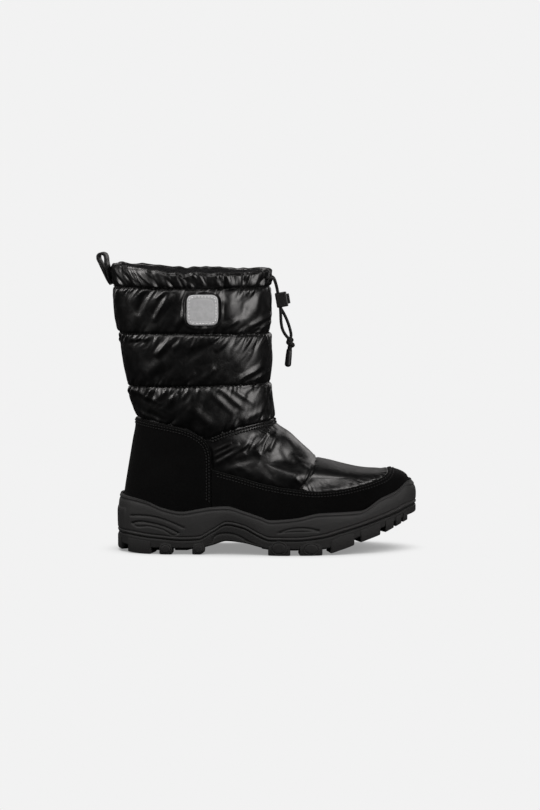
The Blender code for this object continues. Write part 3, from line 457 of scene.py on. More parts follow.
# Finishes: constants of the shader, layers of pattern with their scale and coordinates, colour setting and
# its factor, mask that mixes the colour between two factors, mask that varies the roughness, and bumps with
# their strength and distance in metres
MASK_SPAN = (0.3, 0.7)
FINISHES = {
    # Glossy coated nylon: near black, crumpled a little, with a thin clear coat
    "coated_nylon": {
        "shader": {"Specular IOR Level": 0.5, "Coat Weight": 0.15, "Coat Roughness": 0.25},
        "layers": {"crumple": ("Crumple", 130.0, "Object"), "grain": ("Fine grain", 1500.0, "Object")},
        "colour": ("nylon", 1.0), "tint": ("crumple", "Slow", 0.8, 1.25),
        "roughness": ("crumple", "Slow", 0.33, 0.43),
        "bumps": (("crumple", "Height", 0.15, 0.0005), ("crumple", "Slow", 0.3, 0.0010),
                  ("grain", "Coarse", 0.05, 0.00008)),
    },
    # Suede: a matte nap of short fibres with soft lighter and darker strokes
    "suede_nap": {
        "shader": {"Specular IOR Level": 0.06, "Sheen Weight": 0.02, "Sheen Roughness": 0.6},
        "layers": {"nap": ("Fine grain", 1100.0, "Object"), "strokes": ("Crumple", 60.0, "Object")},
        "colour": ("suede", 1.0), "tint": ("strokes", "Slow", 0.75, 1.3),
        "roughness": ("nap", "Coarse", 0.88, 1.0),
        "bumps": (("nap", "Coarse", 0.3, 0.0003), ("nap", "Fine", 0.35, 0.0002)),
    },
    # Moulded rubber: charcoal with a fine eroded grain and faint dust in it
    "cup_rubber": {
        "shader": {"Specular IOR Level": 0.25},
        "layers": {"grain": ("Fine grain", 1300.0, "Object"), "bloom": ("Crumple", 35.0, "Object")},
        "colour": ("rubber", 1.0), "tint": ("bloom", "Slow", 0.88, 1.12),
        "roughness": ("grain", "Coarse", 0.55, 0.72),
        "bumps": (("grain", "Coarse", 0.25, 0.00025), ("grain", "Fine", 0.2, 0.00012)),
    },
    # Brushed lining: matt curls of pile
    "brushed_lining": {
        "shader": {"Roughness": 0.95, "Specular IOR Level": 0.1,
                   "Sheen Weight": 0.08, "Sheen Roughness": 0.5},
        "layers": {"pile": ("Fine grain", 420.0, "Object")},
        "colour": ("lining", 1.0), "tint": ("pile", "Fine", 0.6, 1.4),
        "bumps": (("pile", "Coarse", 0.6, 0.0012), ("pile", "Fine", 0.6, 0.0006)),
    },
    # Woven tape: crossing ribs on the surface map, with fibre fuzz
    "woven_tape": {
        "shader": {"Roughness": 0.38, "Specular IOR Level": 0.3, "Sheen Weight": 0.05},
        "layers": {"weave": ("Weave", 420.0, "UV"), "fuzz": ("Fine grain", 1800.0, "Object")},
        "colour": ("cord", 1.0), "tint": ("weave", "Height", 0.6, 1.3),
        "bumps": (("weave", "Height", 0.2, 0.0004), ("fuzz", "Fine", 0.3, 0.0001)),
    },
    # Sewing thread: satin, with fibre grain
    "black_thread": {
        "shader": {"Roughness": 0.75, "Specular IOR Level": 0.3},
        "layers": {"fuzz": ("Fine grain", 2400.0, "Object")},
        "colour": ("thread", 1.0), "tint": ("fuzz", "Coarse", 0.75, 1.2),
        "bumps": (("fuzz", "Fine", 0.3, 0.0001),),
    },
    # Moulded plastic: satin black with a fine spark-eroded skin
    "satin_plastic": {
        "shader": {"Specular IOR Level": 0.5},
        "layers": {"grain": ("Fine grain", 1600.0, "Object")},
        "colour": ("plastic", 1.0), "tint": ("grain", "Coarse", 0.85, 1.15),
        "roughness": ("grain", "Coarse", 0.38, 0.52),
        "bumps": (("grain", "Fine", 0.2, 0.0001),),
    },
    # Grey coated patch: smooth, with a fine pebble and a slight mottle
    "patch_face": {
        "shader": {"Specular IOR Level": 0.45},
        "layers": {"grain": ("Fine grain", 900.0, "Object"), "mottle": ("Crumple", 220.0, "Object")},
        "colour": ("patch", 1.0), "tint": ("mottle", "Slow", 0.9, 1.08),
        "roughness": ("grain", "Coarse", 0.42, 0.58),
        "bumps": (("grain", "Coarse", 0.25, 0.00025),),
    },
}

# Finishes that differ from another one in part: the tread's rougher rubber, darkened as painted shade at the
# bottom of the sole, matt braid, pale thread
FINISHES["tread_rubber"] = FINISHES["cup_rubber"] | {
    # painted shade: the tread takes 0.6 of the cup's rubber colour, to stand in for the shade at the bottom
    # of the sole
    "colour": ("rubber", 0.6), "roughness": ("grain", "Coarse", 0.63, 0.8),
}
FINISHES["cord_braid"] = FINISHES["woven_tape"] | {
    "shader": {"Roughness": 0.72, "Specular IOR Level": 0.3, "Sheen Weight": 0.05},
    "layers": {"weave": ("Weave", 300.0, "UV"), "fuzz": ("Fine grain", 1800.0, "Object")},
    "bumps": (("weave", "Height", 0.6, 0.0004), ("fuzz", "Fine", 0.3, 0.0001)),
}
FINISHES["pale_thread"] = FINISHES["black_thread"] | {"colour": ("patch_thread", 1.0)}

# Studio: photograph's frame, aim, distance and height of the camera
CAMERA_AIM = (12.0, 0.0, 130.0)
CAMERA_DISTANCE = 3200.0
CAMERA_RISE = math.radians(5.5)
PIXEL_SIZE = 0.9
FRAME_HEIGHT = 810
SENSOR = 36.0

# Soft lights: degrees to the right of the camera and over the floor, distance, width, height and watts
LIGHTS = {
    "key_rim": (51.0, 20.0, 1600.0, 1700.0, 1500.0, 9.0),
    "key_body": (51.0, 20.0, 1590.0, 1200.0, 1150.0, 8.5),
    "key_core": (51.0, 20.0, 1580.0, 700.0, 750.0, 6.0),
    "left_light": (-66.0, 28.0, 1600.0, 300.0, 1100.0, 16.0),
    "upper_left_light": (-58.0, 62.0, 1600.0, 700.0, 600.0, 4.0),
    "top_light": (-22.0, 60.0, 1600.0, 800.0, 500.0, 3.0),
    "back_light": (180.0, 17.0, 2000.0, 2600.0, 1000.0, 2.4),
    "right_rim_light": (150.0, 20.0, 2000.0, 700.0, 1200.0, 3.0),
    "left_rim_light": (-150.0, 20.0, 2000.0, 700.0, 1200.0, 3.0),
}
LIGHT_AIM = (0.0, 0.0, 140.0)
LIGHT_TINT = (1.0, 0.972, 0.960)
ROOM_LIGHT = 0.012
BACKDROP = 0.888
FLOOR_SHADE = 0.3
FLOOR_SHADE_REACH = 45.0
FLOOR_SHADE_SPAN = (0.05, 0.85)
FLOOR_FADE_SPAN = (0.25, 0.8)
FLOOR_HALF = 3000.0


# Form of the boot: made as its solids are, from nearly the same tables


def cubic(t, step, low, high, low_slope, high_slope):
    """Cubic piece between two values with their slopes, at a share t of the step."""
    start = (1.0 + 2.0 * t) * (1.0 - t) ** 2 * low + t * (1.0 - t) ** 2 * step * low_slope
    end = t * t * (3.0 - 2.0 * t) * high - t * t * (1.0 - t) * step * high_slope
    return start + end


def smooth(knots, values, at):
    """Cubic curve through a table's rows that never overshoots them (slopes are harmonic means)."""
    knots = np.asarray(knots, dtype=float)
    values = np.asarray(values, dtype=float)
    at = np.clip(at, knots[0], knots[-1])
    step = np.diff(knots)
    rise = np.diff(values) / step
    slope = np.concatenate(([rise[0]], np.zeros(len(rise) - 1), [rise[-1]]))
    same_way = rise[:-1] * rise[1:] > 0.0
    total = np.where(same_way, rise[:-1] + rise[1:], 1.0)
    slope[1:-1] = np.where(same_way, 2.0 * rise[:-1] * rise[1:] / total, 0.0)
    span = np.clip(np.searchsorted(knots, at, side="right") - 1, 0, len(step) - 1)
    t = (at - knots[span]) / step[span]
    return cubic(t, step[span], values[span], values[span + 1], slope[span], slope[span + 1])


def table_column(columns, rows, name):
    """One named column of a table."""
    index = columns.index(name)
    return [row[index] for row in rows]


def section(name, level):
    """A size of the upper's sections at a level between two rows."""
    rows = list(SECTIONS.values())
    return smooth(range(len(rows)), table_column(SECTION_COLUMNS, rows, name), level)


def plan(name, x):
    """A value of the last's plan at a place along the foot."""
    return smooth(table_column(PLAN_COLUMNS, PLAN, "x"), table_column(PLAN_COLUMNS, PLAN, name), x)


def sole(name, x):
    """A height of the sole at a place along the foot."""
    return smooth(table_column(SOLE_COLUMNS, SOLE, "x"), table_column(SOLE_COLUMNS, SOLE, name), x)


def edge(name, x):
    """Height of a seam or edge in the side view."""
    points = EDGES[name]
    return smooth([point[0] for point in points], [point[1] for point in points], x)


def shell(phase, level):
    """Face of the upper: x is the section's middle plus its reach times the cosine of the phase, y follows a
    superellipse of the section's squareness, widened and swung by the plan, and z is a plane from back to
    front that is lifted with the foot bed."""
    along = np.cos(phase)
    x_mid = section("x_mid", level)
    x_back = section("x_back", level)
    x_front = section("x_front", level)
    reach = np.where(along >= 0.0, x_front - x_mid, x_mid - x_back)
    square = np.where(along >= 0.0, section("front_square", level), section("back_square", level))
    x = x_mid + reach * along
    across = np.clip(1.0 - np.abs(along) ** square, 0.0, 1.0) ** (1.0 / square)
    ball = section("ball_share", level)
    flare = np.where(np.sin(phase) < 0.0, plan("outer", x), plan("inner", x))
    y = section("half_width", level) * across * np.sign(np.sin(phase)) * (1.0 + ball * (flare - 1.0))
    y = y + ball * plan("swing", x)
    share = (x - x_back) / (x_front - x_back)
    bed_chord = sole("bed", x_back) + share * (sole("bed", x_front) - sole("bed", x_back))
    z = section("z_back", level) + share * (section("z_front", level) - section("z_back", level))
    z = z + section("bed_share", level) * (sole("bed", x) - bed_chord)
    return np.stack(np.broadcast_arrays(x, y, z), axis=-1)


def unit(vectors):
    """Vectors divided by their lengths."""
    return vectors / np.maximum(np.linalg.norm(vectors, axis=-1, keepdims=True), 1e-12)


def shell_normal(phase, level):
    """Outward normal of the upper: the cross product of its slopes round and up."""
    turn = 0.02
    climb = 0.02
    low = np.clip(level - climb, 0.0, TOP_LEVEL)
    high = np.clip(level + climb, 0.0, TOP_LEVEL)
    around = shell(phase + turn, level) - shell(phase - turn, level)
    return unit(np.cross(around, shell(phase, high) - shell(phase, low)))


def offset_shell(phase, level, distance):
    """The upper's face, moved out along its normal."""
    distance = np.asarray(distance, dtype=float)
    return shell(phase, level) + shell_normal(phase, level) * distance[..., None]


def level_where(phase, height_at):
    """Level at which the upper's face climbs through a height that depends on x, found by halving."""
    low = np.zeros(np.shape(phase))
    high = np.full(np.shape(phase), TOP_LEVEL)
    for _ in range(32):
        middle = 0.5 * (low + high)
        point = shell(phase, middle)
        below = point[..., 2] < height_at(point[..., 0])
        low = np.where(below, middle, low)
        high = np.where(below, high, middle)
    return 0.5 * (low + high)


def edge_level(phase, name, shift=0.0):
    """Level of a seam or edge of the upper, moved up by a shift."""
    return level_where(phase, lambda x: edge(name, x) + shift)


def ring_columns(back, front):
    """Phases round the boot from the back over the outer side to the toe and home: two counts a side."""
    rear = np.linspace(-math.pi, -0.5 * math.pi, back, endpoint=False)
    fore = np.linspace(-0.5 * math.pi, 0.0, front, endpoint=False)
    outer = np.concatenate((rear, fore))
    return np.concatenate((outer, [0.0], -outer[:0:-1]))


def overlay_level(phase):
    """Top edge of the suede: the counter behind the side seam and the rand before it."""
    counter = edge_level(phase, "counter_top")
    rand = edge_level(phase, "rand_top")
    return np.where(np.cos(phase) < -1e-6, counter, rand)


def vamp_level(phase):
    """Where the vamp's cloth starts: the suede's edge, kept below the ankle seam."""
    return np.minimum(overlay_level(phase), edge_level(phase, "ankle_seam") - VAMP_LEAST_LEVELS)


def sole_plan(phase, reach):
    """Outline of the sole in plan at a reach beyond the suede: the wall section moved along its flat
    normal."""
    turn = 0.01
    rings = [offset_shell(phase + step, WALL_LEVEL, LEATHER_FACE)[..., :2] for step in (-turn, 0.0, turn)]
    tangent = unit(rings[2] - rings[0])
    outward = np.stack((tangent[..., 1], -tangent[..., 0]), axis=-1)
    return rings[1] + outward * np.asarray(reach)[..., None]


def sole_row(phase, reach, z):
    """Points of the sole at a reach beyond the suede and at heights."""
    return np.column_stack((sole_plan(phase, reach), z))


def sole_stations(phase):
    """Place along the foot that each column of the sole belongs to."""
    return sole_plan(phase, 0.0)[..., 0]


def phase_at(x, side):
    """Column of the sole's outline at a place along the foot, on the outer (-1) or inner (+1) side."""
    columns = np.linspace(-math.pi, 0.0, 361)
    return -side * np.interp(x, sole_stations(columns), columns)


def interface_height(x):
    """Where midsole and outsole meet under the foot: the side groove, kept below the bed."""
    return np.minimum(sole("groove", x), sole("bed", x) - BED_THICKNESS)


def side_places(x, z, side):
    """Phases and levels of the upper at places of the side view, by turns of solving x and then z."""
    level = np.full(np.shape(x), TOP_LEVEL * 0.6)
    for _ in range(7):
        middle = section("x_mid", level)
        front = (x - middle) / (section("x_front", level) - middle)
        back = (x - middle) / (middle - section("x_back", level))
        phase = side * np.arccos(np.clip(np.where(front >= 0.0, front, back), -1.0, 1.0))
        level = level_where(phase, lambda place: z)
    return phase, level


# Relief of cloth and rubber


def ease(distance, reach):
    """Rise from 0 to 1 with distance: one minus the exponential of minus distance over reach."""
    return 1.0 - np.exp(-np.maximum(distance, 0.0) / reach)


def bell(value, middle, width):
    """A soft bump of height 1: the exponential of minus the squared distance from its middle over its
    width."""
    return np.exp(-((value - middle) / width) ** 2)


def soft_lines(value, table):
    """Soft lines side by side: the sum of bells of some heights, middles and widths."""
    return sum(height * bell(value, middle, width) for height, middle, width in table)


def switch(value, width):
    """A soft step from 1 down to 0 as a value climbs through zero."""
    return 1.0 / (1.0 + np.exp(np.clip(value / width, -40.0, 40.0)))


def ramp(value, start, length):
    """A straight climb from 0 to 1 that starts at a value and takes a length, which may be negative."""
    return np.clip((value - start) / length, 0.0, 1.0)


def ripple(u, v, seed, cells):
    """Soft noise from -1 to 1: random values on a lattice that repeats after some cells of u, eased between
    them."""
    rows = 64
    table = np.random.default_rng(seed).uniform(-1.0, 1.0, (cells, rows))
    column = np.floor(u).astype(int)
    row = np.floor(v).astype(int)
    s = u - column
    t = v - row
    s = s * s * (3.0 - 2.0 * s)
    t = t * t * (3.0 - 2.0 * t)
    here = column % cells
    there = (column + 1) % cells
    near, far = [table[here, at % rows] * (1.0 - s) + table[there, at % rows] * s for at in (row, row + 1)]
    return near * (1.0 - t) + far * t


def gathers(around, girth, fall, table, lean, seed):
    """Puffs between pinched lines that start on a seam: for each pitch, the size of leaning noise times its
    height, fading with the distance from the seam."""
    total = np.zeros(np.shape(fall))
    for index, (pitch, height, reach) in enumerate(table):
        cells = int(round(girth / pitch))
        slow = max(3, cells // 3)
        wander = 0.5 * pitch * ripple(around / girth * slow, fall / GATHER_WANDER, seed + 40 + index, slow)
        u = (around + lean * fall + wander) / girth * cells
        noise = ripple(u, fall / (GATHER_LENGTH * pitch), seed + index, cells)
        puff = np.sqrt(noise ** 2 + GATHER_PINCH) - GATHER_MEAN
        total += height * 2.0 * puff * np.exp(-np.maximum(fall, 0.0) / reach) * ease(fall + 0.3, 0.9)
    return total


def creases(x, z, table):
    """Soft ridges and troughs along straight lines: height times a bell with a dip at each side, tapered to
    both ends."""
    total = np.zeros(np.shape(x))
    for x0, z0, x1, z1, width, height in table:
        dx = x1 - x0
        dz = z1 - z0
        length = math.hypot(dx, dz)
        along = ((x - x0) * dx + (z - z0) * dz) / length ** 2
        across = ((x - x0) * dz - (z - z0) * dx) / (length * width)
        taper = np.clip(4.0 * along * (1.0 - along), 0.0, 1.0) ** CREASE_TAPER
        total += height * taper * (1.0 - CREASE_DIP * across ** 2) * np.exp(-across ** 2)
    return total


def line_distance(x, z, points):
    """Distance in the side view to a line through points, as the least over its straight runs."""
    least = np.full(np.shape(x), 1e6)
    for (x0, z0), (x1, z1) in zip(points[:-1], points[1:]):
        dx = x1 - x0
        dz = z1 - z0
        along = np.clip(((x - x0) * dx + (z - z0) * dz) / (dx * dx + dz * dz), 0.0, 1.0)
        least = np.minimum(least, np.hypot(x - x0 - along * dx, z - z0 - along * dz))
    return least


def walked_along(path):
    """Distance along a path from its first point to each point."""
    return np.concatenate(([0.0], np.cumsum(np.linalg.norm(np.diff(path, axis=0), axis=1))))


def climbed_up(points):
    """Distance up each column of a grid from its first row."""
    return np.cumsum(np.linalg.norm(np.diff(points, axis=0, prepend=points[:1]), axis=-1), axis=0)


def read_along(at, walked, values):
    """Rows of values at distances along a path, straight between its points."""
    return np.stack([np.interp(at, walked, values[:, axis]) for axis in range(values.shape[1])], axis=-1)


def rounded_line(points, count):
    """Points spaced evenly along a smooth curve through a route's own points, by cubic pieces."""
    points = np.asarray(points, dtype=float)
    stations = walked_along(points)
    lengths = np.diff(stations)
    fine = np.linspace(0.0, stations[-1], 40 * len(points))
    slope = np.gradient(points, stations, axis=0)
    span = np.clip(np.searchsorted(stations, fine, side="right") - 1, 0, len(lengths) - 1)
    t = ((fine - stations[span]) / lengths[span])[:, None]
    step = lengths[span][:, None]
    curve = cubic(t, step, points[span], points[span + 1], slope[span], slope[span + 1])
    walked = walked_along(curve)
    return read_along(np.linspace(0.0, walked[-1], count), walked, curve)


# Meshes and pieces


def mesh_piece(name, points, quads, weld=False, uv=None):
    """An object from points in millimetres and quads, smooth shaded; welding closes seams and poles."""
    mesh = bpy.data.meshes.new(name)
    points = np.asarray(points, dtype=np.float32) * MM
    if not np.isfinite(points).all():
        raise ValueError(f"{name} has points that are not finite")
    quads = np.asarray(quads, dtype=np.int32)
    mesh.vertices.add(len(points))
    mesh.vertices.foreach_set("co", points.ravel())
    mesh.loops.add(quads.size)
    mesh.loops.foreach_set("vertex_index", quads.ravel())
    mesh.polygons.add(len(quads))
    mesh.polygons.foreach_set("loop_start", np.arange(0, quads.size, 4, dtype=np.int32))
    mesh.polygons.foreach_set("use_smooth", np.ones(len(quads), dtype=bool))
    if uv is not None:
        layer = mesh.uv_layers.new(name="surface")
        layer.uv.foreach_set("vector", np.asarray(uv, dtype=np.float32)[quads.ravel()].ravel())
    mesh.update(calc_edges=True)
    if weld:
        body = bmesh.new()
        body.from_mesh(mesh)
        bmesh.ops.remove_doubles(body, verts=body.verts, dist=WELD_DISTANCE)
        bmesh.ops.dissolve_degenerate(body, edges=body.edges, dist=LEAST_EDGE)
        body.to_mesh(mesh)
        body.free()
    item = bpy.data.objects.new(name, mesh)
    bpy.context.scene.collection.objects.link(item)
    return item


def grid_quads(rows, columns, around=True, over=False):
    """Corner numbers of a grid's quads; around joins the last column to the first, over the last row."""
    j, i = np.meshgrid(np.arange(rows if over else rows - 1), np.arange(columns if around else columns - 1),
                       indexing="ij")
    next_i = (i + 1) % columns
    next_j = (j + 1) % rows
    corners = (j * columns + i, j * columns + next_i, next_j * columns + next_i, next_j * columns + i)
    return np.stack(corners, axis=-1).reshape(-1, 4)


def grid_piece(name, grid, around=True, over=False, weld=False, uv=None):
    """A surface from a grid of points, rows first."""
    quads = grid_quads(grid.shape[0], grid.shape[1], around, over)
    flat_uv = None if uv is None else uv.reshape(-1, 2)
    return mesh_piece(name, grid.reshape(-1, 3), quads, weld, flat_uv)


def join_grids(name, grids, maps=None):
    """One object from closed tubes or bars of different lengths, with a surface map of each if there is
    one."""
    starts = np.cumsum([0] + [grid.shape[0] * grid.shape[1] for grid in grids])
    points = np.concatenate([grid.reshape(-1, 3) for grid in grids])
    quads = np.concatenate([grid_quads(grid.shape[0], grid.shape[1]) + start
                            for grid, start in zip(grids, starts)])
    uv = None if maps is None else np.concatenate([part.reshape(-1, 2) for part in maps])
    return mesh_piece(name, points, quads, weld=maps is None, uv=uv)


def frames_along(path):
    """Two cross directions along a path, carried from point to point without twist."""
    tangent = unit(np.gradient(path, axis=0))
    side = np.zeros_like(tangent)
    start = np.array((0.0, 1.0, 0.0)) if abs(tangent[0, 1]) < 0.9 else np.array((1.0, 0.0, 0.0))
    for index, direction in enumerate(tangent):
        start = start - direction * np.dot(start, direction)
        start = start / np.linalg.norm(start)
        side[index] = start
    return side, np.cross(tangent, side)


def tube_grid(path, radius, around):
    """Circles of a radius round each point of a path, closed to a point at both ends."""
    side, rise = frames_along(path)
    angle = np.linspace(0.0, 2.0 * math.pi, around, endpoint=False)
    ring = np.cos(angle)[None, :, None] * side[:, None] + np.sin(angle)[None, :, None] * rise[:, None]
    radius = np.broadcast_to(np.asarray(radius), (len(path), around))
    body = path[:, None] + ring * radius[..., None]
    first = np.repeat(path[:1, None], around, axis=1)
    last = np.repeat(path[-1:, None], around, axis=1)
    return np.concatenate((first, body, last))


def surface_map(across, walked):
    """Surface map of a tube with closed ends, in metres: across or round it, and along it."""
    along = np.concatenate(([0.0], walked, walked[-1:]))
    return np.stack(np.broadcast_arrays(across[None] * MM, along[:, None] * MM), axis=-1)


def finish_piece(item, finishes, nodes=()):
    """Give a piece its materials and its body, and hide the solids it stands for."""
    for finish in finishes:
        item.data.materials.append(material_of(finish))
    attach(item, BOOT_BODY)
    if nodes:
        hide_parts(*nodes)


# Materials


def add_node(tree, kind, operation=None, **values):
    """A shader node with its operation, and values for its sockets by name, with underscores for spaces."""
    node = tree.nodes.new(kind)
    if operation is not None:
        node.operation = operation
    for name, value in values.items():
        node.inputs[name.replace("_", " ")].default_value = value
    return node


def fill_grain(tree, start, end):
    """Fine grain: noise at a scale, and its second, three times finer, layer."""
    coarse = add_node(tree, "ShaderNodeTexNoise", Detail=3.0, Roughness=0.55)
    fine = add_node(tree, "ShaderNodeTexNoise", Detail=4.0, Roughness=0.65)
    finer = add_node(tree, "ShaderNodeMath", "MULTIPLY")
    finer.inputs[1].default_value = 3.1
    tree.links.new(start.outputs["Scale"], finer.inputs[0])
    tree.links.new(start.outputs["Scale"], coarse.inputs["Scale"])
    tree.links.new(finer.outputs[0], fine.inputs["Scale"])
    for noise, label in ((coarse, "Coarse"), (fine, "Fine")):
        tree.links.new(start.outputs["Vector"], noise.inputs["Vector"])
        tree.links.new(noise.outputs["Fac"], end.inputs[label])


def fill_crumple(tree, start, end):
    """Crumpled film: the middles of warped cells and a slow noise, as heights."""
    slow = add_node(tree, "ShaderNodeTexNoise", Detail=2.0, Roughness=0.5, Distortion=0.6)
    warp = add_node(tree, "ShaderNodeVectorMath", "MULTIPLY_ADD")
    warp.inputs[1].default_value = (0.006, 0.006, 0.006)
    cells = tree.nodes.new("ShaderNodeTexVoronoi")
    cells.feature = "SMOOTH_F1"
    cells.inputs["Smoothness"].default_value = 0.6
    tree.links.new(start.outputs["Vector"], slow.inputs["Vector"])
    tree.links.new(start.outputs["Vector"], warp.inputs[2])
    tree.links.new(slow.outputs["Color"], warp.inputs[0])
    tree.links.new(warp.outputs[0], cells.inputs["Vector"])
    for node in (slow, cells):
        tree.links.new(start.outputs["Scale"], node.inputs["Scale"])
    tree.links.new(cells.outputs["Distance"], end.inputs["Height"])
    tree.links.new(slow.outputs["Fac"], end.inputs["Slow"])


def fill_weave(tree, start, end):
    """Woven ribs: the product of two waves that cross, along the two directions of a surface map."""
    both = add_node(tree, "ShaderNodeMath", "MULTIPLY")
    for index, direction in enumerate(("X", "Y")):
        wave = add_node(tree, "ShaderNodeTexWave", Distortion=0.3, Detail=1.0)
        wave.bands_direction = direction
        for label in ("Vector", "Scale"):
            tree.links.new(start.outputs[label], wave.inputs[label])
        tree.links.new(wave.outputs["Fac"], both.inputs[index])
    tree.links.new(both.outputs[0], end.inputs["Height"])


# Shared patterns: what fills the group, and its outputs
PATTERNS = {
    "Fine grain": (fill_grain, ("Coarse", "Fine")),
    "Crumple": (fill_crumple, ("Height", "Slow")),
    "Weave": (fill_weave, ("Height",)),
}


def pattern_group(name):
    """A shared pattern as a shader node group, made once: a vector and a scale in, heights or masks out."""
    if name in bpy.data.node_groups:
        return bpy.data.node_groups[name]
    fill, outputs = PATTERNS[name]
    tree = bpy.data.node_groups.new(name, "ShaderNodeTree")
    for label, kind in (("Vector", "NodeSocketVector"), ("Scale", "NodeSocketFloat")):
        tree.interface.new_socket(label, in_out="INPUT", socket_type=kind)
    for label in outputs:
        tree.interface.new_socket(label, in_out="OUTPUT", socket_type="NodeSocketFloat")
    fill(tree, tree.nodes.new("NodeGroupInput"), tree.nodes.new("NodeGroupOutput"))
    return tree


def place_pattern(tree, name, scale, coordinates):
    """A pattern fed by object coordinates, or by the surface map of the piece."""
    node = tree.nodes.new("ShaderNodeGroup")
    node.node_tree = pattern_group(name)
    node.inputs["Scale"].default_value = scale
    where = tree.nodes.new("ShaderNodeTexCoord")
    tree.links.new(where.outputs[coordinates], node.inputs["Vector"])
    return node


def span_value(tree, source, span, low, high, ease_by="LINEAR"):
    """A value from low to high as its source climbs through a span."""
    node = add_node(tree, "ShaderNodeMapRange", From_Min=span[0], From_Max=span[1], To_Min=low, To_Max=high)
    node.interpolation_type = ease_by
    tree.links.new(source, node.inputs["Value"])
    return node.outputs["Result"]


def span_colour(tree, source, span, dark, light):
    """A colour from dark to light as its source climbs through a span."""
    node = tree.nodes.new("ShaderNodeValToRGB")
    for element, position, colour in zip(node.color_ramp.elements, span, (dark, light)):
        element.position = position
        element.color = (*colour, 1.0)
    tree.links.new(source, node.inputs["Fac"])
    return node.outputs["Color"]


def raise_bump(tree, shader, heights):
    """Bumps stacked in turn: each height with its strength and its distance in metres."""
    below = None
    for source, strength, distance in heights:
        bump = add_node(tree, "ShaderNodeBump", Strength=strength, Distance=distance)
        tree.links.new(source, bump.inputs["Height"])
        if below is not None:
            tree.links.new(below, bump.inputs["Normal"])
        below = bump.outputs["Normal"]
    tree.links.new(below, shader.inputs["Normal"])


def shade(colour, factor):
    """A colour made darker or lighter."""
    return tuple(min(1.0, value * factor) for value in colour)


def material_of(name):
    """A finish of the boot by name, made once from its row of the table and the colours in the panel."""
    if name in bpy.data.materials:
        return bpy.data.materials[name]
    finish = FINISHES[name]
    material = bpy.data.materials.new(name)
    material.use_nodes = True
    tree = material.node_tree
    shader = tree.nodes["Principled BSDF"]
    for label, value in finish["shader"].items():
        shader.inputs[label].default_value = value
    layers = {label: place_pattern(tree, *layer) for label, layer in finish["layers"].items()}
    setting, factor = finish["colour"]
    colour = shade(getattr(bpy.context.scene.boot_colours, setting), factor)
    layer, output, dark, light = finish["tint"]
    mask = layers[layer].outputs[output]
    tint = span_colour(tree, mask, MASK_SPAN, shade(colour, dark), shade(colour, light))
    tree.links.new(tint, shader.inputs["Base Color"])
    if "roughness" in finish:
        layer, output, low, high = finish["roughness"]
        roughness = span_value(tree, layers[layer].outputs[output], MASK_SPAN, low, high)
        tree.links.new(roughness, shader.inputs["Roughness"])
    raise_bump(tree, shader, [(layers[layer].outputs[output], strength, distance)
                              for layer, output, strength, distance in finish["bumps"]])
    return material


# Settings


def size_setting(label, about, value, largest, **kind):
    """A number in the panel, with its first value and its largest."""
    return FloatProperty(name=label, description=about, default=value, min=0.0, max=largest, **kind)


def colour_setting(label, about, value):
    """A colour in the panel, with its first value."""
    return FloatVectorProperty(name=label, description=about, default=value, min=0.0, max=1.0,
                               subtype="COLOR")


class BootSizes(bpy.types.PropertyGroup):
    """Sizes of the boot's soft surfaces."""

    shaft_puff: size_setting("Shaft stuffing", "How far a baffle of the shaft stands out", 0.0027, 0.008,
                             unit="LENGTH")
    vamp_puff: size_setting("Vamp stuffing", "How far the instep panel stands out", 0.0022, 0.006,
                            unit="LENGTH")
    gather: size_setting("Gathers", "Share of the full height of the gathers at the seams", 1.0, 2.0,
                         subtype="FACTOR")
    crease: size_setting("Creases", "Share of the full height of the main creases", 1.45, 2.0,
                         subtype="FACTOR")
    stitch: size_setting("Stitch length", "Length of a stitch on the suede", 0.0023, 0.005, unit="LENGTH")


class BootColours(bpy.types.PropertyGroup):
    """Colours of the boot's finishes."""

    nylon: colour_setting("Nylon", "Coated cloth of shaft, cuff and vamp", (0.0018, 0.0018, 0.0019))
    suede: colour_setting("Suede", "Nap of counter and rand", (0.0014, 0.0014, 0.0014))
    rubber: colour_setting("Rubber", "Moulded sole", (0.022, 0.022, 0.022))
    lining: colour_setting("Lining", "Brushed lining and insole", (0.014, 0.014, 0.015))
    cord: colour_setting("Cord", "Drawcord and pull loop", (0.010, 0.010, 0.010))
    thread: colour_setting("Thread", "Seams of the suede", (0.006, 0.006, 0.006))
    patch: colour_setting("Patch", "Face of the patch", (0.466, 0.475, 0.484))
    patch_thread: colour_setting("Patch thread", "Seam of the patch", (0.85, 0.85, 0.86))
    plastic: colour_setting("Plastic", "Cord lock", (0.008, 0.008, 0.008))


# Stage


def aim_object(item, place, target):
    """Put an object at a place in millimetres, with its -Z axis to a target."""
    item.location = Vector(place) * MM
    item.rotation_euler = (Vector(target) - Vector(place)).to_track_quat("-Z", "Y").to_euler()


def add_light(name, azimuth, elevation, distance, width, height, power):
    """A soft rectangular studio light on a circle round the boot."""
    turn = math.radians(azimuth)
    climb = math.radians(elevation)
    flat = distance * math.cos(climb)
    step = (flat * math.sin(turn), -flat * math.cos(turn), distance * math.sin(climb))
    light = bpy.data.lights.new(name, "AREA")
    light.shape = "RECTANGLE"
    light.size = width * MM
    light.size_y = height * MM
    light.energy = power
    light.color = LIGHT_TINT
    item = bpy.data.objects.new(name, light)
    bpy.context.scene.collection.objects.link(item)
    item.visible_camera = False
    aim_object(item, [a + b for a, b in zip(LIGHT_AIM, step)], LIGHT_AIM)


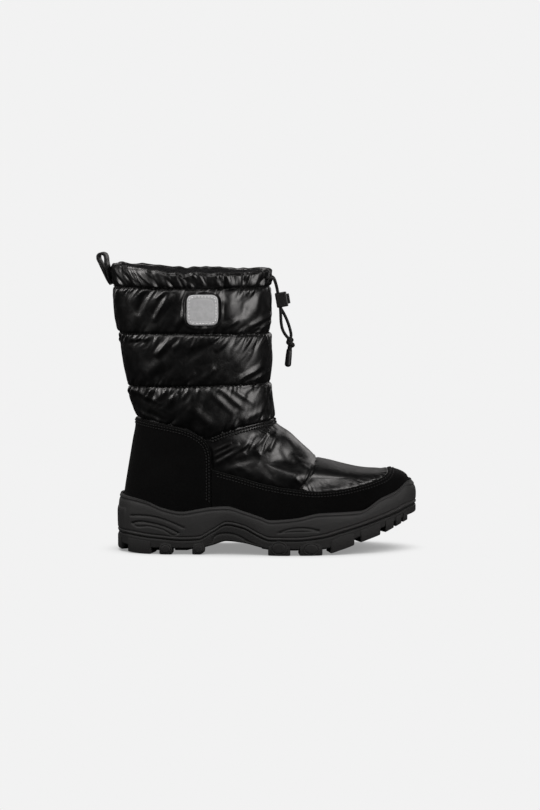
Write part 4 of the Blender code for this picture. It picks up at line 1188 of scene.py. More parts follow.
def studio_world():
    """Pale backdrop for the camera, and a much dimmer room for everything else."""
    world = bpy.data.worlds.new("studio")
    world.use_nodes = True
    tree = world.node_tree
    tree.nodes.clear()
    room = add_node(tree, "ShaderNodeBackground", Color=(1.0, 1.0, 1.0, 1.0), Strength=ROOM_LIGHT)
    backdrop = add_node(tree, "ShaderNodeBackground", Color=(1.0, 1.0, 1.0, 1.0), Strength=BACKDROP)
    path = tree.nodes.new("ShaderNodeLightPath")
    mix = tree.nodes.new("ShaderNodeMixShader")
    out = tree.nodes.new("ShaderNodeOutputWorld")
    tree.links.new(path.outputs["Is Camera Ray"], mix.inputs["Fac"])
    tree.links.new(room.outputs[0], mix.inputs[1])
    tree.links.new(backdrop.outputs[0], mix.inputs[2])
    tree.links.new(mix.outputs[0], out.inputs["Surface"])
    bpy.context.scene.world = world


def floor_material():
    """Pale floor that glows as the backdrop does and darkens where the boot covers it, clear from below and
    faded out far away."""
    material = bpy.data.materials.new("pale_floor")
    material.use_nodes = True
    tree = material.node_tree
    tree.nodes.remove(tree.nodes["Principled BSDF"])
    shader = add_node(tree, "ShaderNodeEmission", Color=(1.0, 1.0, 1.0, 1.0))
    cover = add_node(tree, "ShaderNodeAmbientOcclusion", Distance=FLOOR_SHADE_REACH * MM)
    cover.samples = 16
    darkest = FLOOR_SHADE * BACKDROP
    glow = span_value(tree, cover.outputs["AO"], FLOOR_SHADE_SPAN, darkest, BACKDROP, "SMOOTHSTEP")
    tree.links.new(glow, shader.inputs["Strength"])
    where = tree.nodes.new("ShaderNodeTexCoord")
    reach = add_node(tree, "ShaderNodeVectorMath", "LENGTH")
    tree.links.new(where.outputs["Object"], reach.inputs[0])
    fade = span_value(tree, reach.outputs["Value"], FLOOR_FADE_SPAN, 0.0, 1.0, "SMOOTHSTEP")
    back = tree.nodes.new("ShaderNodeNewGeometry")
    most = add_node(tree, "ShaderNodeMath", "MAXIMUM")
    clear = tree.nodes.new("ShaderNodeBsdfTransparent")
    mix = tree.nodes.new("ShaderNodeMixShader")
    tree.links.new(fade, most.inputs[0])
    tree.links.new(back.outputs["Backfacing"], most.inputs[1])
    tree.links.new(most.outputs[0], mix.inputs["Fac"])
    tree.links.new(shader.outputs[0], mix.inputs[1])
    tree.links.new(clear.outputs[0], mix.inputs[2])
    tree.links.new(mix.outputs[0], tree.nodes["Material Output"].inputs["Surface"])
    return material


class BOOT_OT_stage(bpy.types.Operator):
    """Camera at the photograph's angle, soft studio lights and a pale floor"""

    bl_idname = "boot.stage"
    bl_label = "Stage"

    def execute(self, context):
        scene = context.scene
        camera = bpy.data.objects.new("camera", bpy.data.cameras.new("camera"))
        scene.collection.objects.link(camera)
        rise = (0.0, -math.cos(CAMERA_RISE) * CAMERA_DISTANCE, math.sin(CAMERA_RISE) * CAMERA_DISTANCE)
        aim_object(camera, [a + b for a, b in zip(CAMERA_AIM, rise)], CAMERA_AIM)
        camera.data.sensor_width = SENSOR
        camera.data.lens = SENSOR * CAMERA_DISTANCE / (FRAME_HEIGHT * PIXEL_SIZE)
        scene.camera = camera
        scene.view_settings.view_transform = "Standard"
        scene.view_settings.look = "None"
        studio_world()
        for name, values in LIGHTS.items():
            add_light(name, *values)
        ends = (-FLOOR_HALF, FLOOR_HALF)
        corners = np.array([[(x, y, 0.0) for x in ends] for y in ends])
        floor = grid_piece("floor", corners, around=False)
        floor.data.materials.append(floor_material())
        floor.visible_glossy = False
        floor.visible_diffuse = False
        return {"FINISHED"}


# Drawcord


def lock_place(local):
    """A point of the cord lock in the boot's frame: turned about Y by its tilt, then moved to its middle."""
    x, y, z = local
    cosine = math.cos(LOCK_TILT)
    sine = math.sin(LOCK_TILT)
    turned = (x * cosine - z * sine, y, x * sine + z * cosine)
    return tuple(centre + value for centre, value in zip(LOCK_CENTRE, turned))


def cuff_point(cosine, side, z, lift):
    """A point over the cuff near its front, at a height and a lift over the stuffed face."""
    phase = np.array([side * math.acos(cosine)])
    level = level_where(phase, lambda x: z)
    return offset_shell(phase, level, CUFF_PUFF + lift)[0]


def strand_route(side, fall):
    """Route of one drawcord strand: out of the cuff, through the lock and down to the knot."""
    clear = 0.5 * CORD_DIAMETER + GAP
    half = 0.5 * LOCK_SIZE[2]
    spread = side * CORD_SPACING
    over_cuff = [cuff_point(cosine, side, CORD_EXIT_Z - drop, clear + lift)
                 for cosine, drop, lift in CORD_OVER_CUFF]
    in_lock = [lock_place((LOCK_CORD_X, spread, height)) for height in (half + LOCK_APPROACH, half, -half)]
    return over_cuff + in_lock + [(x, spread, z) for x, z in fall]


def braided_tube(path, diameter, around, plait):
    """A braided tube along a path, with its surface map: the radius swells where two families of strands wind
    over each other."""
    walked = walked_along(path)
    angle = np.linspace(0.0, 2.0 * math.pi, around, endpoint=False)
    wind = BRAID_STRANDS * angle[None]
    climb = 2.0 * math.pi * walked[:, None] / plait
    swell = np.maximum(np.sin(wind + climb), np.sin(wind - climb))
    radius = 0.5 * diameter * (BRAID_FULLNESS + BRAID_SWELL * swell)
    return tube_grid(path, radius, around), surface_map(angle * 0.5 * diameter, walked)


def knot_lines():
    """The overhand knot: one line winds round the two strands, and each strand runs down through it into the
    sleeve."""
    share = np.linspace(0.0, 1.0, 121)
    turn = 2.0 * math.pi * (KNOT_TURNS * share + KNOT_FIRST_TURN)
    tuck = 1.0 - KNOT_TUCK * (2.0 * share - 1.0) ** 6
    room = np.array(KNOT_RADII) - KNOT_SINK * KNOT_CORD
    wrap = np.stack((room[0] * tuck * np.cos(turn), room[1] * tuck * np.sin(turn),
                     room[2] * (1.0 - 2.0 * share)), axis=-1)
    lines = [wrap + np.array(KNOT_CENTRE)]
    for side, fall in STRANDS.values():
        start = (fall[-1][0], side * CORD_SPACING, fall[-1][1])
        into = (KNOT_CENTRE[0], side * KNOT_SPREAD, KNOT_CENTRE[2])
        end = (CORD_END_TOP[0], side * SLEEVE_SPREAD, CORD_END_TOP[2] - SLEEVE_DEPTH)
        lines.append(rounded_line((start, into, end), 40))
    return lines


def sleeve_grid():
    """The sleeved end: a bar with a rounded tip, drawn in at its top and ringed by three shallow grooves."""
    share = np.concatenate((np.linspace(0.0, 0.9, 70), 1.0 - 0.1 * np.linspace(0.9, 0.0, 14) ** 2))
    waist = np.interp(share, *zip(*SLEEVE_WAIST))
    tip = np.sqrt(np.clip(1.0 - (np.maximum(share - SLEEVE_TIP, 0.0) / (1.0 - SLEEVE_TIP)) ** 2, 0.04, 1.0))
    for ring in SLEEVE_RINGS:
        waist = waist - SLEEVE_RING_DEPTH * bell(share, ring, SLEEVE_RING_WIDTH)
    line = np.array(CORD_END_TOP) + share[:, None] * (np.array(CORD_END_BOTTOM) - np.array(CORD_END_TOP))
    return tube_grid(line, (0.5 * CORD_END_DIAMETER * waist * tip)[:, None], SLEEVE_SIDES)


class BOOT_OT_drawcord(bpy.types.Operator):
    """Two braided strands of the drawcord with their knot, sleeved end and cord lock"""

    bl_idname = "boot.drawcord"
    bl_label = "Drawcord"

    def execute(self, context):
        tubes = [braided_tube(line, KNOT_CORD, KNOT_SIDES, KNOT_PLAIT) for line in knot_lines()]
        knot = join_grids("cord_knot", *zip(*tubes))
        finish_piece(knot, ["cord_braid"], ["drawcord_knot"])
        sleeve = grid_piece("cord_sleeve", sleeve_grid())
        finish_piece(sleeve, ["satin_plastic"], ["drawcord_end"])
        lock_nodes = [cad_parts[name] for name in ("cord_lock_body", "cord_lock_button")]
        for node in lock_nodes:
            node.data.materials.clear()
            node.data.materials.append(material_of("satin_plastic"))
        for name, (side, fall) in STRANDS.items():
            route = rounded_line(strand_route(side, fall), CORD_POINTS)
            fine_route = rounded_line(route, CORD_FINE_POINTS)
            grid, uv = braided_tube(fine_route, CORD_DIAMETER, CORD_SIDES, CORD_PLAIT)
            strand = grid_piece(f"braid_{name}", grid, uv=uv)
            finish_piece(strand, ["cord_braid"], [name])
        return {"FINISHED"}


# Sole


def spine_row(ring):
    """A row on the middle line of a ring: the mean of each point and its mirror column."""
    mirrored = np.concatenate((ring[:1], ring[:0:-1]))
    return 0.5 * (ring + mirrored)


def midsole_relief(x, z):
    """Relief of the sole's side: grooves as bells round their lines, bands along its top edge and above the
    tread, and a band at the back of the heel."""
    relief = np.zeros(np.shape(x))
    for points, depth, width in SIDE_GROOVES:
        line = rounded_line(points, 24)
        relief -= depth * bell(line_distance(x, z, line.tolist()), 0.0, width)
    gaps = {"top": sole("top", x) - z, "groove": z - sole("groove", x)}
    for name, distance, height, width, steepness in SIDE_BANDS:
        relief += height * np.exp(-((gaps[name] - distance) / width) ** steepness)
    low, high = HEEL_BAND_SPAN
    band = bell(np.maximum(x - HEEL_BAND_X, 0.0), 0.0, HEEL_BAND_WIDTH)
    return relief + HEEL_BAND_HEIGHT * (band * ease(high - z, 1.0) * ease(z - low, 1.0))


def midsole_grid():
    """The cup: up its inside wall, over the rim and down its side to the groove, closed on the middle
    line."""
    phases = ring_columns(*SOLE_RING)
    stations = sole_stations(phases)
    rim = level_where(phases, lambda x: sole("top", x))
    cup = LEATHER_FACE + CUP_CLEARANCE
    floor = offset_shell(phases, 0.0 * rim, cup)
    floor[:, 2] = sole("bed", floor[:, 0])
    rows = [spine_row(floor), floor]
    rows += [offset_shell(phases, rim * share, cup) for share in np.linspace(0.2, 1.0, 8)]
    tip = ramp(stations, TIP_X, TIP_LENGTH)
    for angle in np.linspace(0.0, math.pi, 9)[1:-1]:
        reach = cup + 0.5 * (RIM_THICKNESS - TIP_RIM_DRAW * tip) * (1.0 - math.cos(angle))
        row = offset_shell(phases, rim, reach)
        row[:, 2] += RIM_RISE * math.sin(angle)
        rows.append(row)
    groove = sole("groove", stations)
    height = sole("top", stations) - groove
    for share in np.linspace(SIDE_START, 0.0, SIDE_ROWS):
        z = groove + share * height + SOLE_SEAM
        reach = smooth(SIDE_SHARE, SIDE_REACH, share) - TIP_SIDE_DRAW * tip * share ** 5
        relief = midsole_relief(sole_plan(phases, reach)[:, 0], z)
        rows.append(sole_row(phases, reach + relief, z))
    low = sole_row(phases, BOTTOM_INSET, interface_height(stations) + SOLE_SEAM)
    rows += [low, spine_row(low)]
    return np.stack(rows)[::-1]


def outsole_grid():
    """The tread plate: over its base, round its edge, up its side with the line over the arch, and back on
    top, closed on the middle line."""
    phases = ring_columns(*SOLE_RING)
    stations = sole_stations(phases)
    groove = sole("groove", stations) - SOLE_SEAM
    base = sole("base", stations)
    inner = sole_row(phases, BOTTOM_INSET - EDGE_ROUND, base)
    rows = [spine_row(inner), inner]
    for angle in np.linspace(0.0, 0.5 * math.pi, 5):
        reach = OUTSOLE_REACH - EDGE_ROUND * (1.0 - math.sin(angle))
        rows.append(sole_row(phases, reach, base + EDGE_ROUND * (1.0 - math.cos(angle))))
    panel = rounded_line(ARCH_PANEL, 24).tolist()
    for share in np.linspace(0.1, 0.95, 22):
        z = base + EDGE_ROUND + share * (groove - base - 2.0 * EDGE_ROUND)
        line = bell(line_distance(stations, z, panel), 0.0, ARCH_LINE_WIDTH)
        rows.append(sole_row(phases, OUTSOLE_REACH - line, z))
    for angle in np.linspace(0.0, 0.5 * math.pi, 4):
        reach = SIDE_REACH[0] + (OUTSOLE_REACH - SIDE_REACH[0]) * math.cos(angle)
        rows.append(sole_row(phases, reach, groove - EDGE_ROUND * (1.0 - math.sin(angle))))
    high = sole_row(phases, BOTTOM_INSET, interface_height(stations) - SOLE_SEAM)
    rows += [high, spine_row(high)]
    return np.stack(rows)


def round_sections(corners, radius):
    """Round the corners of four-cornered sections: each corner becomes three points of a short curve."""
    before = np.roll(corners, 1, axis=1)
    after = np.roll(corners, -1, axis=1)
    into = corners + unit(before - corners) * radius
    out = corners + unit(after - corners) * radius
    middle = 0.25 * into + 0.5 * corners + 0.25 * out
    return np.stack((into, middle, out), axis=2).reshape(corners.shape[0], -1, 3)


def bar_grid(corners, radius):
    """A bar through rounded sections, its two ends drawn in and closed to their middles."""
    body = round_sections(corners, radius)
    middle = body.mean(axis=1, keepdims=True)
    ends = []
    for last, before in ((slice(0, 1), slice(1, 2)), (slice(-1, None), slice(-2, -1))):
        push = unit(middle[last] - middle[before]) * radius
        drawn = middle[last] + (body[last] - middle[last]) * BAR_END
        ends.append((np.repeat(middle[last], body.shape[1], axis=1), drawn, body[last] - push))
    return np.concatenate((*ends[0], body[2:-2], *ends[1][::-1]))


def lug_grid(phases, depth, dome):
    """An edge lug: its outer face from crown to tip, its tip inwards and its root on the plate."""
    stations = sole_stations(phases)
    outer = sole_plan(phases, LUG_REACH)
    inner = sole_plan(phases, -depth)
    crown = sole("groove", stations) - LUG_SIDE_DROP
    from_middle = np.abs(np.linspace(-1.0, 1.0, len(phases)))
    shoulder = sole("base", stations) + LUG_SHOULDER
    crown = crown + dome * (shoulder - crown) * from_middle ** LUG_DOME_POWER
    tip = sole("tip", stations)
    root = sole("base", stations) + LUG_ROOT
    sides = ((outer, crown), (outer, tip), (inner, tip), (inner, root))
    return bar_grid(np.stack([np.column_stack(side) for side in sides], axis=1), LUG_ROUND)


def knob_grid(x, half, height, side):
    """A knob on the side of a lug: an ellipse that stands on the ground, domed outwards and closed behind."""
    angle = np.linspace(0.0, 2.0 * math.pi, 28, endpoint=False) * -side
    rows = []
    for size, rise in KNOB_PROFILE:
        phases = phase_at(x + size * half * np.cos(angle), side)
        z = np.maximum(height + size * height * np.sin(angle), 0.0)
        rows.append(sole_row(phases, LUG_REACH + rise * KNOB_RISE, z))
    phases = phase_at(x + half * np.cos(angle), side)
    rows.append(sole_row(phases, LUG_REACH - KNOB_DEPTH, height + height * np.sin(angle)))
    rows.append(np.repeat(rows[-1].mean(axis=0, keepdims=True), len(angle), axis=0))
    return np.stack(rows)


def chevron_grid(x):
    """A centre chevron: a bar swept forward in its middle, from the plate to the ground."""
    left, right = sole_plan(phase_at(np.array((x, x)), np.array((-1.0, 1.0))), 0.0)[:, 1]
    half = CHEVRON_WIDTH_SHARE * 0.5 * (right - left)
    share = np.linspace(-1.0, 1.0, CHEVRON_STATIONS)
    y = 0.5 * (left + right) + half * share
    front = x + CHEVRON_SWEEP * (1.0 - np.abs(share))
    back = front - CHEVRON_THICKNESS
    sides = ((front, "base", LUG_ROOT), (front, "tip", 0.0), (back, "tip", 0.0), (back, "base", LUG_ROOT))
    corners = [np.column_stack((place, y, sole(name, place) + lift)) for place, name, lift in sides]
    return bar_grid(np.stack(corners, axis=1), LUG_ROUND)


def outward(item):
    """Turn the faces of closed loose bodies outwards."""
    body = bmesh.new()
    body.from_mesh(item.data)
    bmesh.ops.recalc_face_normals(body, faces=body.faces)
    body.to_mesh(item.data)
    body.free()


class BOOT_OT_sole(bpy.types.Operator):
    """Midsole cup with its moulded side, and the tread with its lugs and chevrons"""

    bl_idname = "boot.sole"
    bl_label = "Sole"

    def execute(self, context):
        midsole = grid_piece("midsole_cup", midsole_grid(), weld=True)
        finish_piece(midsole, ["cup_rubber"], ["midsole"])
        # the tread plate and lugs take the tread finish, whose darker colour is painted shade
        plate = grid_piece("tread_plate", outsole_grid(), weld=True)
        finish_piece(plate, ["tread_rubber"], ["outsole"])
        grids = []
        for start, end, dome in LUGS:
            for side in (-1.0, 1.0):
                grids.append(lug_grid(phase_at(np.linspace(start, end, LUG_STATIONS), side), LUG_DEPTH, dome))
        turn = float(phase_at(REAR_LUG_X, -1.0))
        rear = np.linspace(-2.0 * math.pi - turn, turn, REAR_LUG_STATIONS)
        grids.append(lug_grid(rear, REAR_LUG_DEPTH, 0.0))
        grids += [chevron_grid(x) for x in CHEVRONS_X]
        grids += [knob_grid(*knob, side) for knob in KNOBS for side in (-1.0, 1.0)]
        lugs = join_grids("tread_lugs", grids)
        outward(lugs)
        lugs.data.set_sharp_from_angle(angle=SHARP_ANGLE)
        finish_piece(lugs, ["tread_rubber"], ["outsole"])
        return {"FINISHED"}


# Insole


def insole_grid():
    """The foot bed: across the boot in strips from outer to inner side, dished, with its underside below."""
    phases = np.linspace(-math.pi, 0.0, 121)
    outer, inner = [offset_shell(turn, np.zeros(len(phases)), -WALL)[:, :2] * INSOLE_SHRINK
                    for turn in (phases, -phases)]
    over = np.linspace(0.0, 1.0, 25)
    under = np.linspace(1.0, 0.0, 9)
    dish = INSOLE_THICKNESS * (1.0 - INSOLE_DISH + INSOLE_DISH * (2.0 * over - 1.0) ** 2)
    rows = []
    for share, height in zip(np.append(over, under), np.append(dish, 0.0 * under)):
        flat = outer + share * (inner - outer)
        rows.append(np.column_stack((flat, sole("bed", flat[:, 0]) + GAP + height)))
    return np.stack(rows)


class BOOT_OT_insole(bpy.types.Operator):
    """Dished insole covered in the lining's pile"""

    bl_idname = "boot.insole"
    bl_label = "Insole"

    def execute(self, context):
        insole = grid_piece("pile_insole", insole_grid(), around=False, over=True, weld=True)
        outward(insole)
        finish_piece(insole, ["brushed_lining"], ["insole"])
        return {"FINISHED"}


# Upper


def around_of(phases, level):
    """Distance round the boot to each column, and the whole girth, along the ring of one level."""
    walked = walked_along(shell(np.append(phases, math.pi), level))
    return walked[:-1], walked[-1]


def side_creases(x, y, z, table):
    """Main creases on both sides: the table as it is on the outer side, set back and lower on the inner."""
    outer = creases(x, z, table)
    inner = creases(x + INNER_SHIFT[0], z + INNER_SHIFT[1], table) * INNER_HEIGHT
    share = np.clip(0.5 - y / INNER_CHANGE, 0.0, 1.0)
    return outer * share + inner * (1.0 - share)


def eased_rows(count, share, endpoint=True):
    """Shares up a panel from 0 to 1 in rows, by a share drawn to both ends and the rest even."""
    step = np.linspace(0.0, 1.0, count, endpoint=endpoint)
    return ((1.0 - share) * step + share * (0.5 - 0.5 * np.cos(math.pi * step)))[:, None]


def baffle_relief(points, around, girth, low_gap, high_gap, hem, sizes, seed):
    """Stuffing of a baffle: rises from both seams, above a flat hem in the lowest, with gathers from each,
    slow slanted folds and the main creases, held flat under the patch and swollen round it."""
    x, y, z = points[..., 0], points[..., 1], points[..., 2]
    puff = sizes.shaft_puff / MM
    low_gap = low_gap - hem
    body = ease(low_gap, LOW_RISE) * ease(high_gap, HIGH_RISE)
    relief = puff * body - SEAM_DIP * bell(np.minimum(low_gap, high_gap), 0.0, SEAM_DIP_WIDTH)
    relief += sizes.gather * gathers(around, girth, high_gap, GATHERS_BELOW, GATHER_LEAN, seed)
    relief += sizes.gather * gathers(around, girth, low_gap, GATHERS_ABOVE, -GATHER_LEAN, seed + 7)
    cells = int(round(girth / SLANT_PITCH))
    slant = ripple((around - SLANT_LEAN * z) / girth * cells, z / SLANT_LENGTH, seed + 11, cells)
    relief += SLANT_HEIGHT * body * slant
    relief += sizes.crease * body * side_creases(x, y, z, SHAFT_CREASES)
    gap = (np.abs(x - BADGE_X) ** 3 + np.abs(z - BADGE_Z) ** 3) ** (1.0 / 3.0) - BADGE_HALF
    near_badge = np.where(y < 0.0, switch(gap + 1.0, 0.6), 0.0)
    relief = relief + np.where(y < 0.0, soft_lines(gap, BADGE_SWELLING), 0.0) * body
    relief += soft_lines(np.minimum(around, girth - around), BACK_SEAM)
    return relief * (1.0 - near_badge) + BADGE_BED * near_badge


def shaft_grid(sizes):
    """The shaft's outer cloth from the ankle seam to the cuff seam, baffle by baffle, and its lining."""
    phases = ring_columns(*SHAFT_COLUMNS)
    around, girth = around_of(phases, TOP_SEAM_LEVEL)
    seams = [edge_level(phases, name) for name in ("ankle_seam", "low_seam", "top_seam", "cuff_seam")]
    heights = [shell(phases, level)[:, 2] for level in seams]
    rows = [offset_shell(phases, seams[0], -SHAFT_TUCK)[None]]
    for index, count in enumerate(SHAFT_ROWS):
        share = eased_rows(count, 0.35, endpoint=index == len(SHAFT_ROWS) - 1)
        level = seams[index] + share * (seams[index + 1] - seams[index])
        phase = np.broadcast_to(phases, level.shape)
        points = shell(phase, level)
        low_gap = points[..., 2] - heights[index]
        high_gap = heights[index + 1] - points[..., 2]
        hem = HEM * ease(points[..., 0] - HEM_START_X, 6.0) if index == 0 else 0.0
        relief = baffle_relief(points, np.broadcast_to(around, level.shape), girth, low_gap, high_gap, hem,
                               sizes, 100 * (index + 1))
        if index == 0:
            relief = relief + FRONT_FILL * front_share(points[..., 0]) * bell(low_gap, 0.0, FRONT_FILL_WIDTH)
        rows.append(points + shell_normal(phase, level) * relief[..., None])
    lining = [seams[3], seams[2], 0.5 * (seams[2] + seams[1]), seams[1], seams[0]]
    outer_rows = sum(len(block) for block in rows)
    rows += [offset_shell(phases, level, -WALL)[None] for level in lining]
    return np.concatenate(rows), outer_rows


def front_share(x):
    """How far a place belongs to the front of the shaft, where the ankle seam is not drawn in."""
    return ramp(x, FRONT_X, FRONT_LENGTH) ** 2


def vamp_relief(points, sink, rand_gap, ankle_gap, around, girth, sizes):
    """Stuffing of instep and toe panels: rises from the rand, the ankle seam, the counter and the join, which
    stands up as a ridge. The instep is crumpled. The toe panel is smooth, follows the sink of a rounder
    section, and has puckers at the rand."""
    x, y, z = points[..., 0], points[..., 1], points[..., 2]
    join_x, join_z = zip(*EDGES["vamp_join"])
    ahead = (x - np.interp(z, join_z, join_x)) * JOIN_SLANT
    counter_gap = np.maximum(x - COUNTER_FRONT_X, 0.0)
    ankle_gap = np.maximum(ankle_gap - HEM_ON_VAMP * HEM, 0.0)
    instep = switch(ahead, JOIN_CHANGE)
    toe = 1.0 - instep
    bare = ease(rand_gap, 1.6 + 3.4 * instep) * ease(ankle_gap, VAMP_RISE) * ease(counter_gap, VAMP_RISE)
    body = bare * ease(np.abs(ahead), VAMP_RISE)
    puff = sizes.vamp_puff / MM
    relief = puff * bare * (0.72 + 0.28 * ease(np.abs(ahead), 6.0)) * (0.35 * toe + 0.65)
    relief += toe * ramp(x, TOE_FLAT_X, -TOE_FLAT_LENGTH) * ease(ahead, 8.0) * sink
    shoulder = rand_gap / TOE_SHOULDER
    near_join = toe * ramp(x, TOE_SINK_X, -SINK_LENGTH) * ease(ahead, 5.0)
    relief -= TOE_SINK * near_join * shoulder * np.exp(1.0 - shoulder)
    relief -= TIP_SINK * toe * ease(rand_gap, 3.0) * ramp(x, TIP_SINK_X, SINK_LENGTH)
    bulge = bell(ahead, -INSTEP_BULGE_BEHIND, INSTEP_BULGE_WIDTH)
    relief += INSTEP_BULGE * instep * ease(rand_gap, 9.0) * bulge
    front = front_share(x)
    relief += FRONT_FILL * front * bell(ankle_gap, 0.0, FRONT_FILL_WIDTH)
    relief += front * bare * soft_lines(ankle_gap, (INSTEP_FILL,))
    relief += bare * soft_lines(ahead, JOIN_RIDGE)
    relief += sizes.crease * instep * body * side_creases(x, y, z, VAMP_CREASES)
    cells = int(round(girth / CRUMPLE_PITCH))
    crumple = ripple((around + 0.5 * z) / girth * cells, z / CRUMPLE_LENGTH, 501, cells)
    relief += (0.7 - 0.4 * ramp(x, 0.0, 15.0)) * instep * body * crumple
    pucker = gathers(around, girth, rand_gap, PUCKERS, 0.2, 520)
    relief += sizes.gather * pucker * ease(rand_gap, 1.0) * (0.9 - 0.5 * instep)
    pinch = bell(x, PINCH_X, PINCH_WIDTH)
    relief += sizes.gather * bare * pinch * gathers(around, girth, ankle_gap, GATHERS_ABOVE, 0.3, 540)
    return relief


def vamp_grid(sizes):
    """The vamp's cloth from below the suede to the ankle seam, and the lining of the foot inside."""
    phases = ring_columns(*VAMP_COLUMNS)
    around, girth = around_of(phases, WALL_LEVEL)
    start = vamp_level(phases)
    ankle = edge_level(phases, "ankle_seam")
    rows = [shell(phases, start * share)[None] for share in (0.0, 0.25, 0.5, 0.8)]
    level = start + eased_rows(VAMP_ROWS, 0.3) * (ankle - start)
    phase = np.broadcast_to(phases, level.shape)
    points = shell(phase, level)
    walked = climbed_up(points)
    normal = shell_normal(phase, level)
    rounded = points.copy()
    for _ in range(TOE_ROUNDS):
        rounded[1:-1] = 0.25 * rounded[:-2] + 0.5 * rounded[1:-1] + 0.25 * rounded[2:]
    sink = np.sum((rounded - points) * normal, axis=-1)
    relief = vamp_relief(points, sink, walked, walked[-1] - walked,
                         np.broadcast_to(around, level.shape), girth, sizes)
    rows.append(points + normal * relief[..., None])
    outer_rows = sum(len(block) for block in rows)
    lining = [ankle] + [start + part * (ankle - start) for part in (0.75, 0.5, 0.25, 0.0)]
    lining += [start * part for part in (0.75, 0.5, 0.25, 0.0)]
    for level in lining:
        toe = ramp(shell(phases, level)[:, 0], TOE_LINING_X, TOE_LINING_LENGTH)
        rows.append(offset_shell(phases, level, -WALL - TOE_LINING * toe)[None])
    return np.concatenate(rows), outer_rows


def lined_piece(name, grid, outer_rows, nodes):
    """A closed ring of cloth with its lining as the second material."""
    item = grid_piece(name, grid, over=True)
    numbers = np.zeros(grid.shape[:2], dtype=np.int32)
    numbers[outer_rows:] = 1
    item.data.polygons.foreach_set("material_index", numbers.ravel())
    finish_piece(item, ["coated_nylon", "brushed_lining"], nodes)


class BOOT_OT_shaft(bpy.types.Operator):
    """Stuffed baffles of the shaft with their gathers and creases, lined inside"""

    bl_idname = "boot.shaft"
    bl_label = "Shaft"

    def execute(self, context):
        grid, outer_rows = shaft_grid(context.scene.boot_sizes)
        lined_piece("quilted_shaft", grid, outer_rows, ["upper"])
        return {"FINISHED"}


class BOOT_OT_vamp(bpy.types.Operator):
    """Instep and toe panels with the ridge between them, lined inside"""

    bl_idname = "boot.vamp"
    bl_label = "Vamp"

    def execute(self, context):
        grid, outer_rows = vamp_grid(context.scene.boot_sizes)
        lined_piece("quilted_vamp", grid, outer_rows, ["upper"])
        return {"FINISHED"}


# Cuff


def cuff_grid(sizes):
    """The casing of the drawcord: out and up from the cuff seam, over a wavy rim and down inside."""
    phases = ring_columns(*CUFF_COLUMNS)
    around, girth = around_of(phases, TOP_LEVEL)
    low = edge_level(phases, "cuff_seam", 0.5 * GAP)
    top = edge_level(phases, "collar")
    low_z = shell(phases, low)[:, 2]
    top_z = shell(phases, top)[:, 2]
    rim_x = shell(phases, top)[:, 0]
    front = front_share(rim_x)
    still = np.zeros(len(phases))
    lean = np.interp(rim_x, *zip(*CUFF_LEAN)) * -np.sign(phases)
    wave = sum(height * ripple(around / girth * cells, still, seed, cells)
               for height, cells, seed in CUFF_WAVES)
    wave = wave - CUFF_TUCK_DEPTH * bell(rim_x, CUFF_TUCK_X, CUFF_TUCK_WIDTH)
    rows = []
    for share in np.linspace(0.0, 1.0, CUFF_ROWS):
        level = low + share * (top - low)
        points = shell(phases, level)
        low_gap = points[:, 2] - low_z
        high_gap = top_z - points[:, 2]
        roll = 0.75 * (1.0 - front) * share ** 9 - 0.52 * front * share ** 4
        puff = CUFF_PUFF * ease(low_gap, 3.0) * (1.0 - roll)
        fold = gathers(around, girth, low_gap, GATHERS_CUFF, lean, 84)
        fold += gathers(around, girth, high_gap + 1.0, GATHERS_CUFF, -lean, 91)
        valley = CUFF_VALLEY * bell(low_gap, 0.0, CUFF_VALLEY_WIDTH)
        relief = puff + sizes.gather * CUFF_FOLD * fold - valley
        row = points + shell_normal(phases, level) * relief[:, None]
        row[:, 2] += CUFF_WAVE_OUTSIDE * wave * share ** 2
        rows.append(row)
    rim = rows[-1]
    inside = offset_shell(phases, top, -WALL)
    inside[:, 2] += CUFF_WAVE_INSIDE * wave
    for angle in np.linspace(0.0, math.pi, 9)[1:-1]:
        row = rim + (0.5 - 0.5 * math.cos(angle)) * (inside - rim)
        row[:, 2] += CUFF_RIM_RISE * math.sin(angle)
        rows.append(row)
    outer_rows = len(rows)
    for share in (1.0, 0.8, 0.6, 0.4, 0.2, 0.0):
        level = low + share * (top - low)
        fall = np.full(len(phases), (1.0 - share) * CUFF_LINING_FALL + 1.0)
        fold = 0.5 * gathers(around, girth, fall, GATHERS_CUFF, 0.6, 91)
        row = offset_shell(phases, level, -WALL + sizes.gather * np.minimum(fold, 0.4))
        row[:, 2] += CUFF_WAVE_INSIDE * wave * share ** 2
        rows.append(row)
    return np.stack(rows), outer_rows


class BOOT_OT_cuff(bpy.types.Operator):
    """Gathered casing of the drawcord round the collar"""

    bl_idname = "boot.cuff"
    bl_label = "Cuff"

    def execute(self, context):
        grid, outer_rows = cuff_grid(context.scene.boot_sizes)
        lined_piece("gathered_cuff", grid, outer_rows, ["drawcord_cuff"])
        return {"FINISHED"}


# Suede


def panel_columns(start, end, count, near):
    """Phases between two ends, with close columns near each end so that the cut edge can be round."""
    close = np.array(CLOSE_COLUMNS) * near
    even = np.linspace(CLOSE_END * near, 1.0 - CLOSE_END * near, count)
    share = np.concatenate((close, even, 1.0 - close[::-1]))
    return start + share * (end - start)


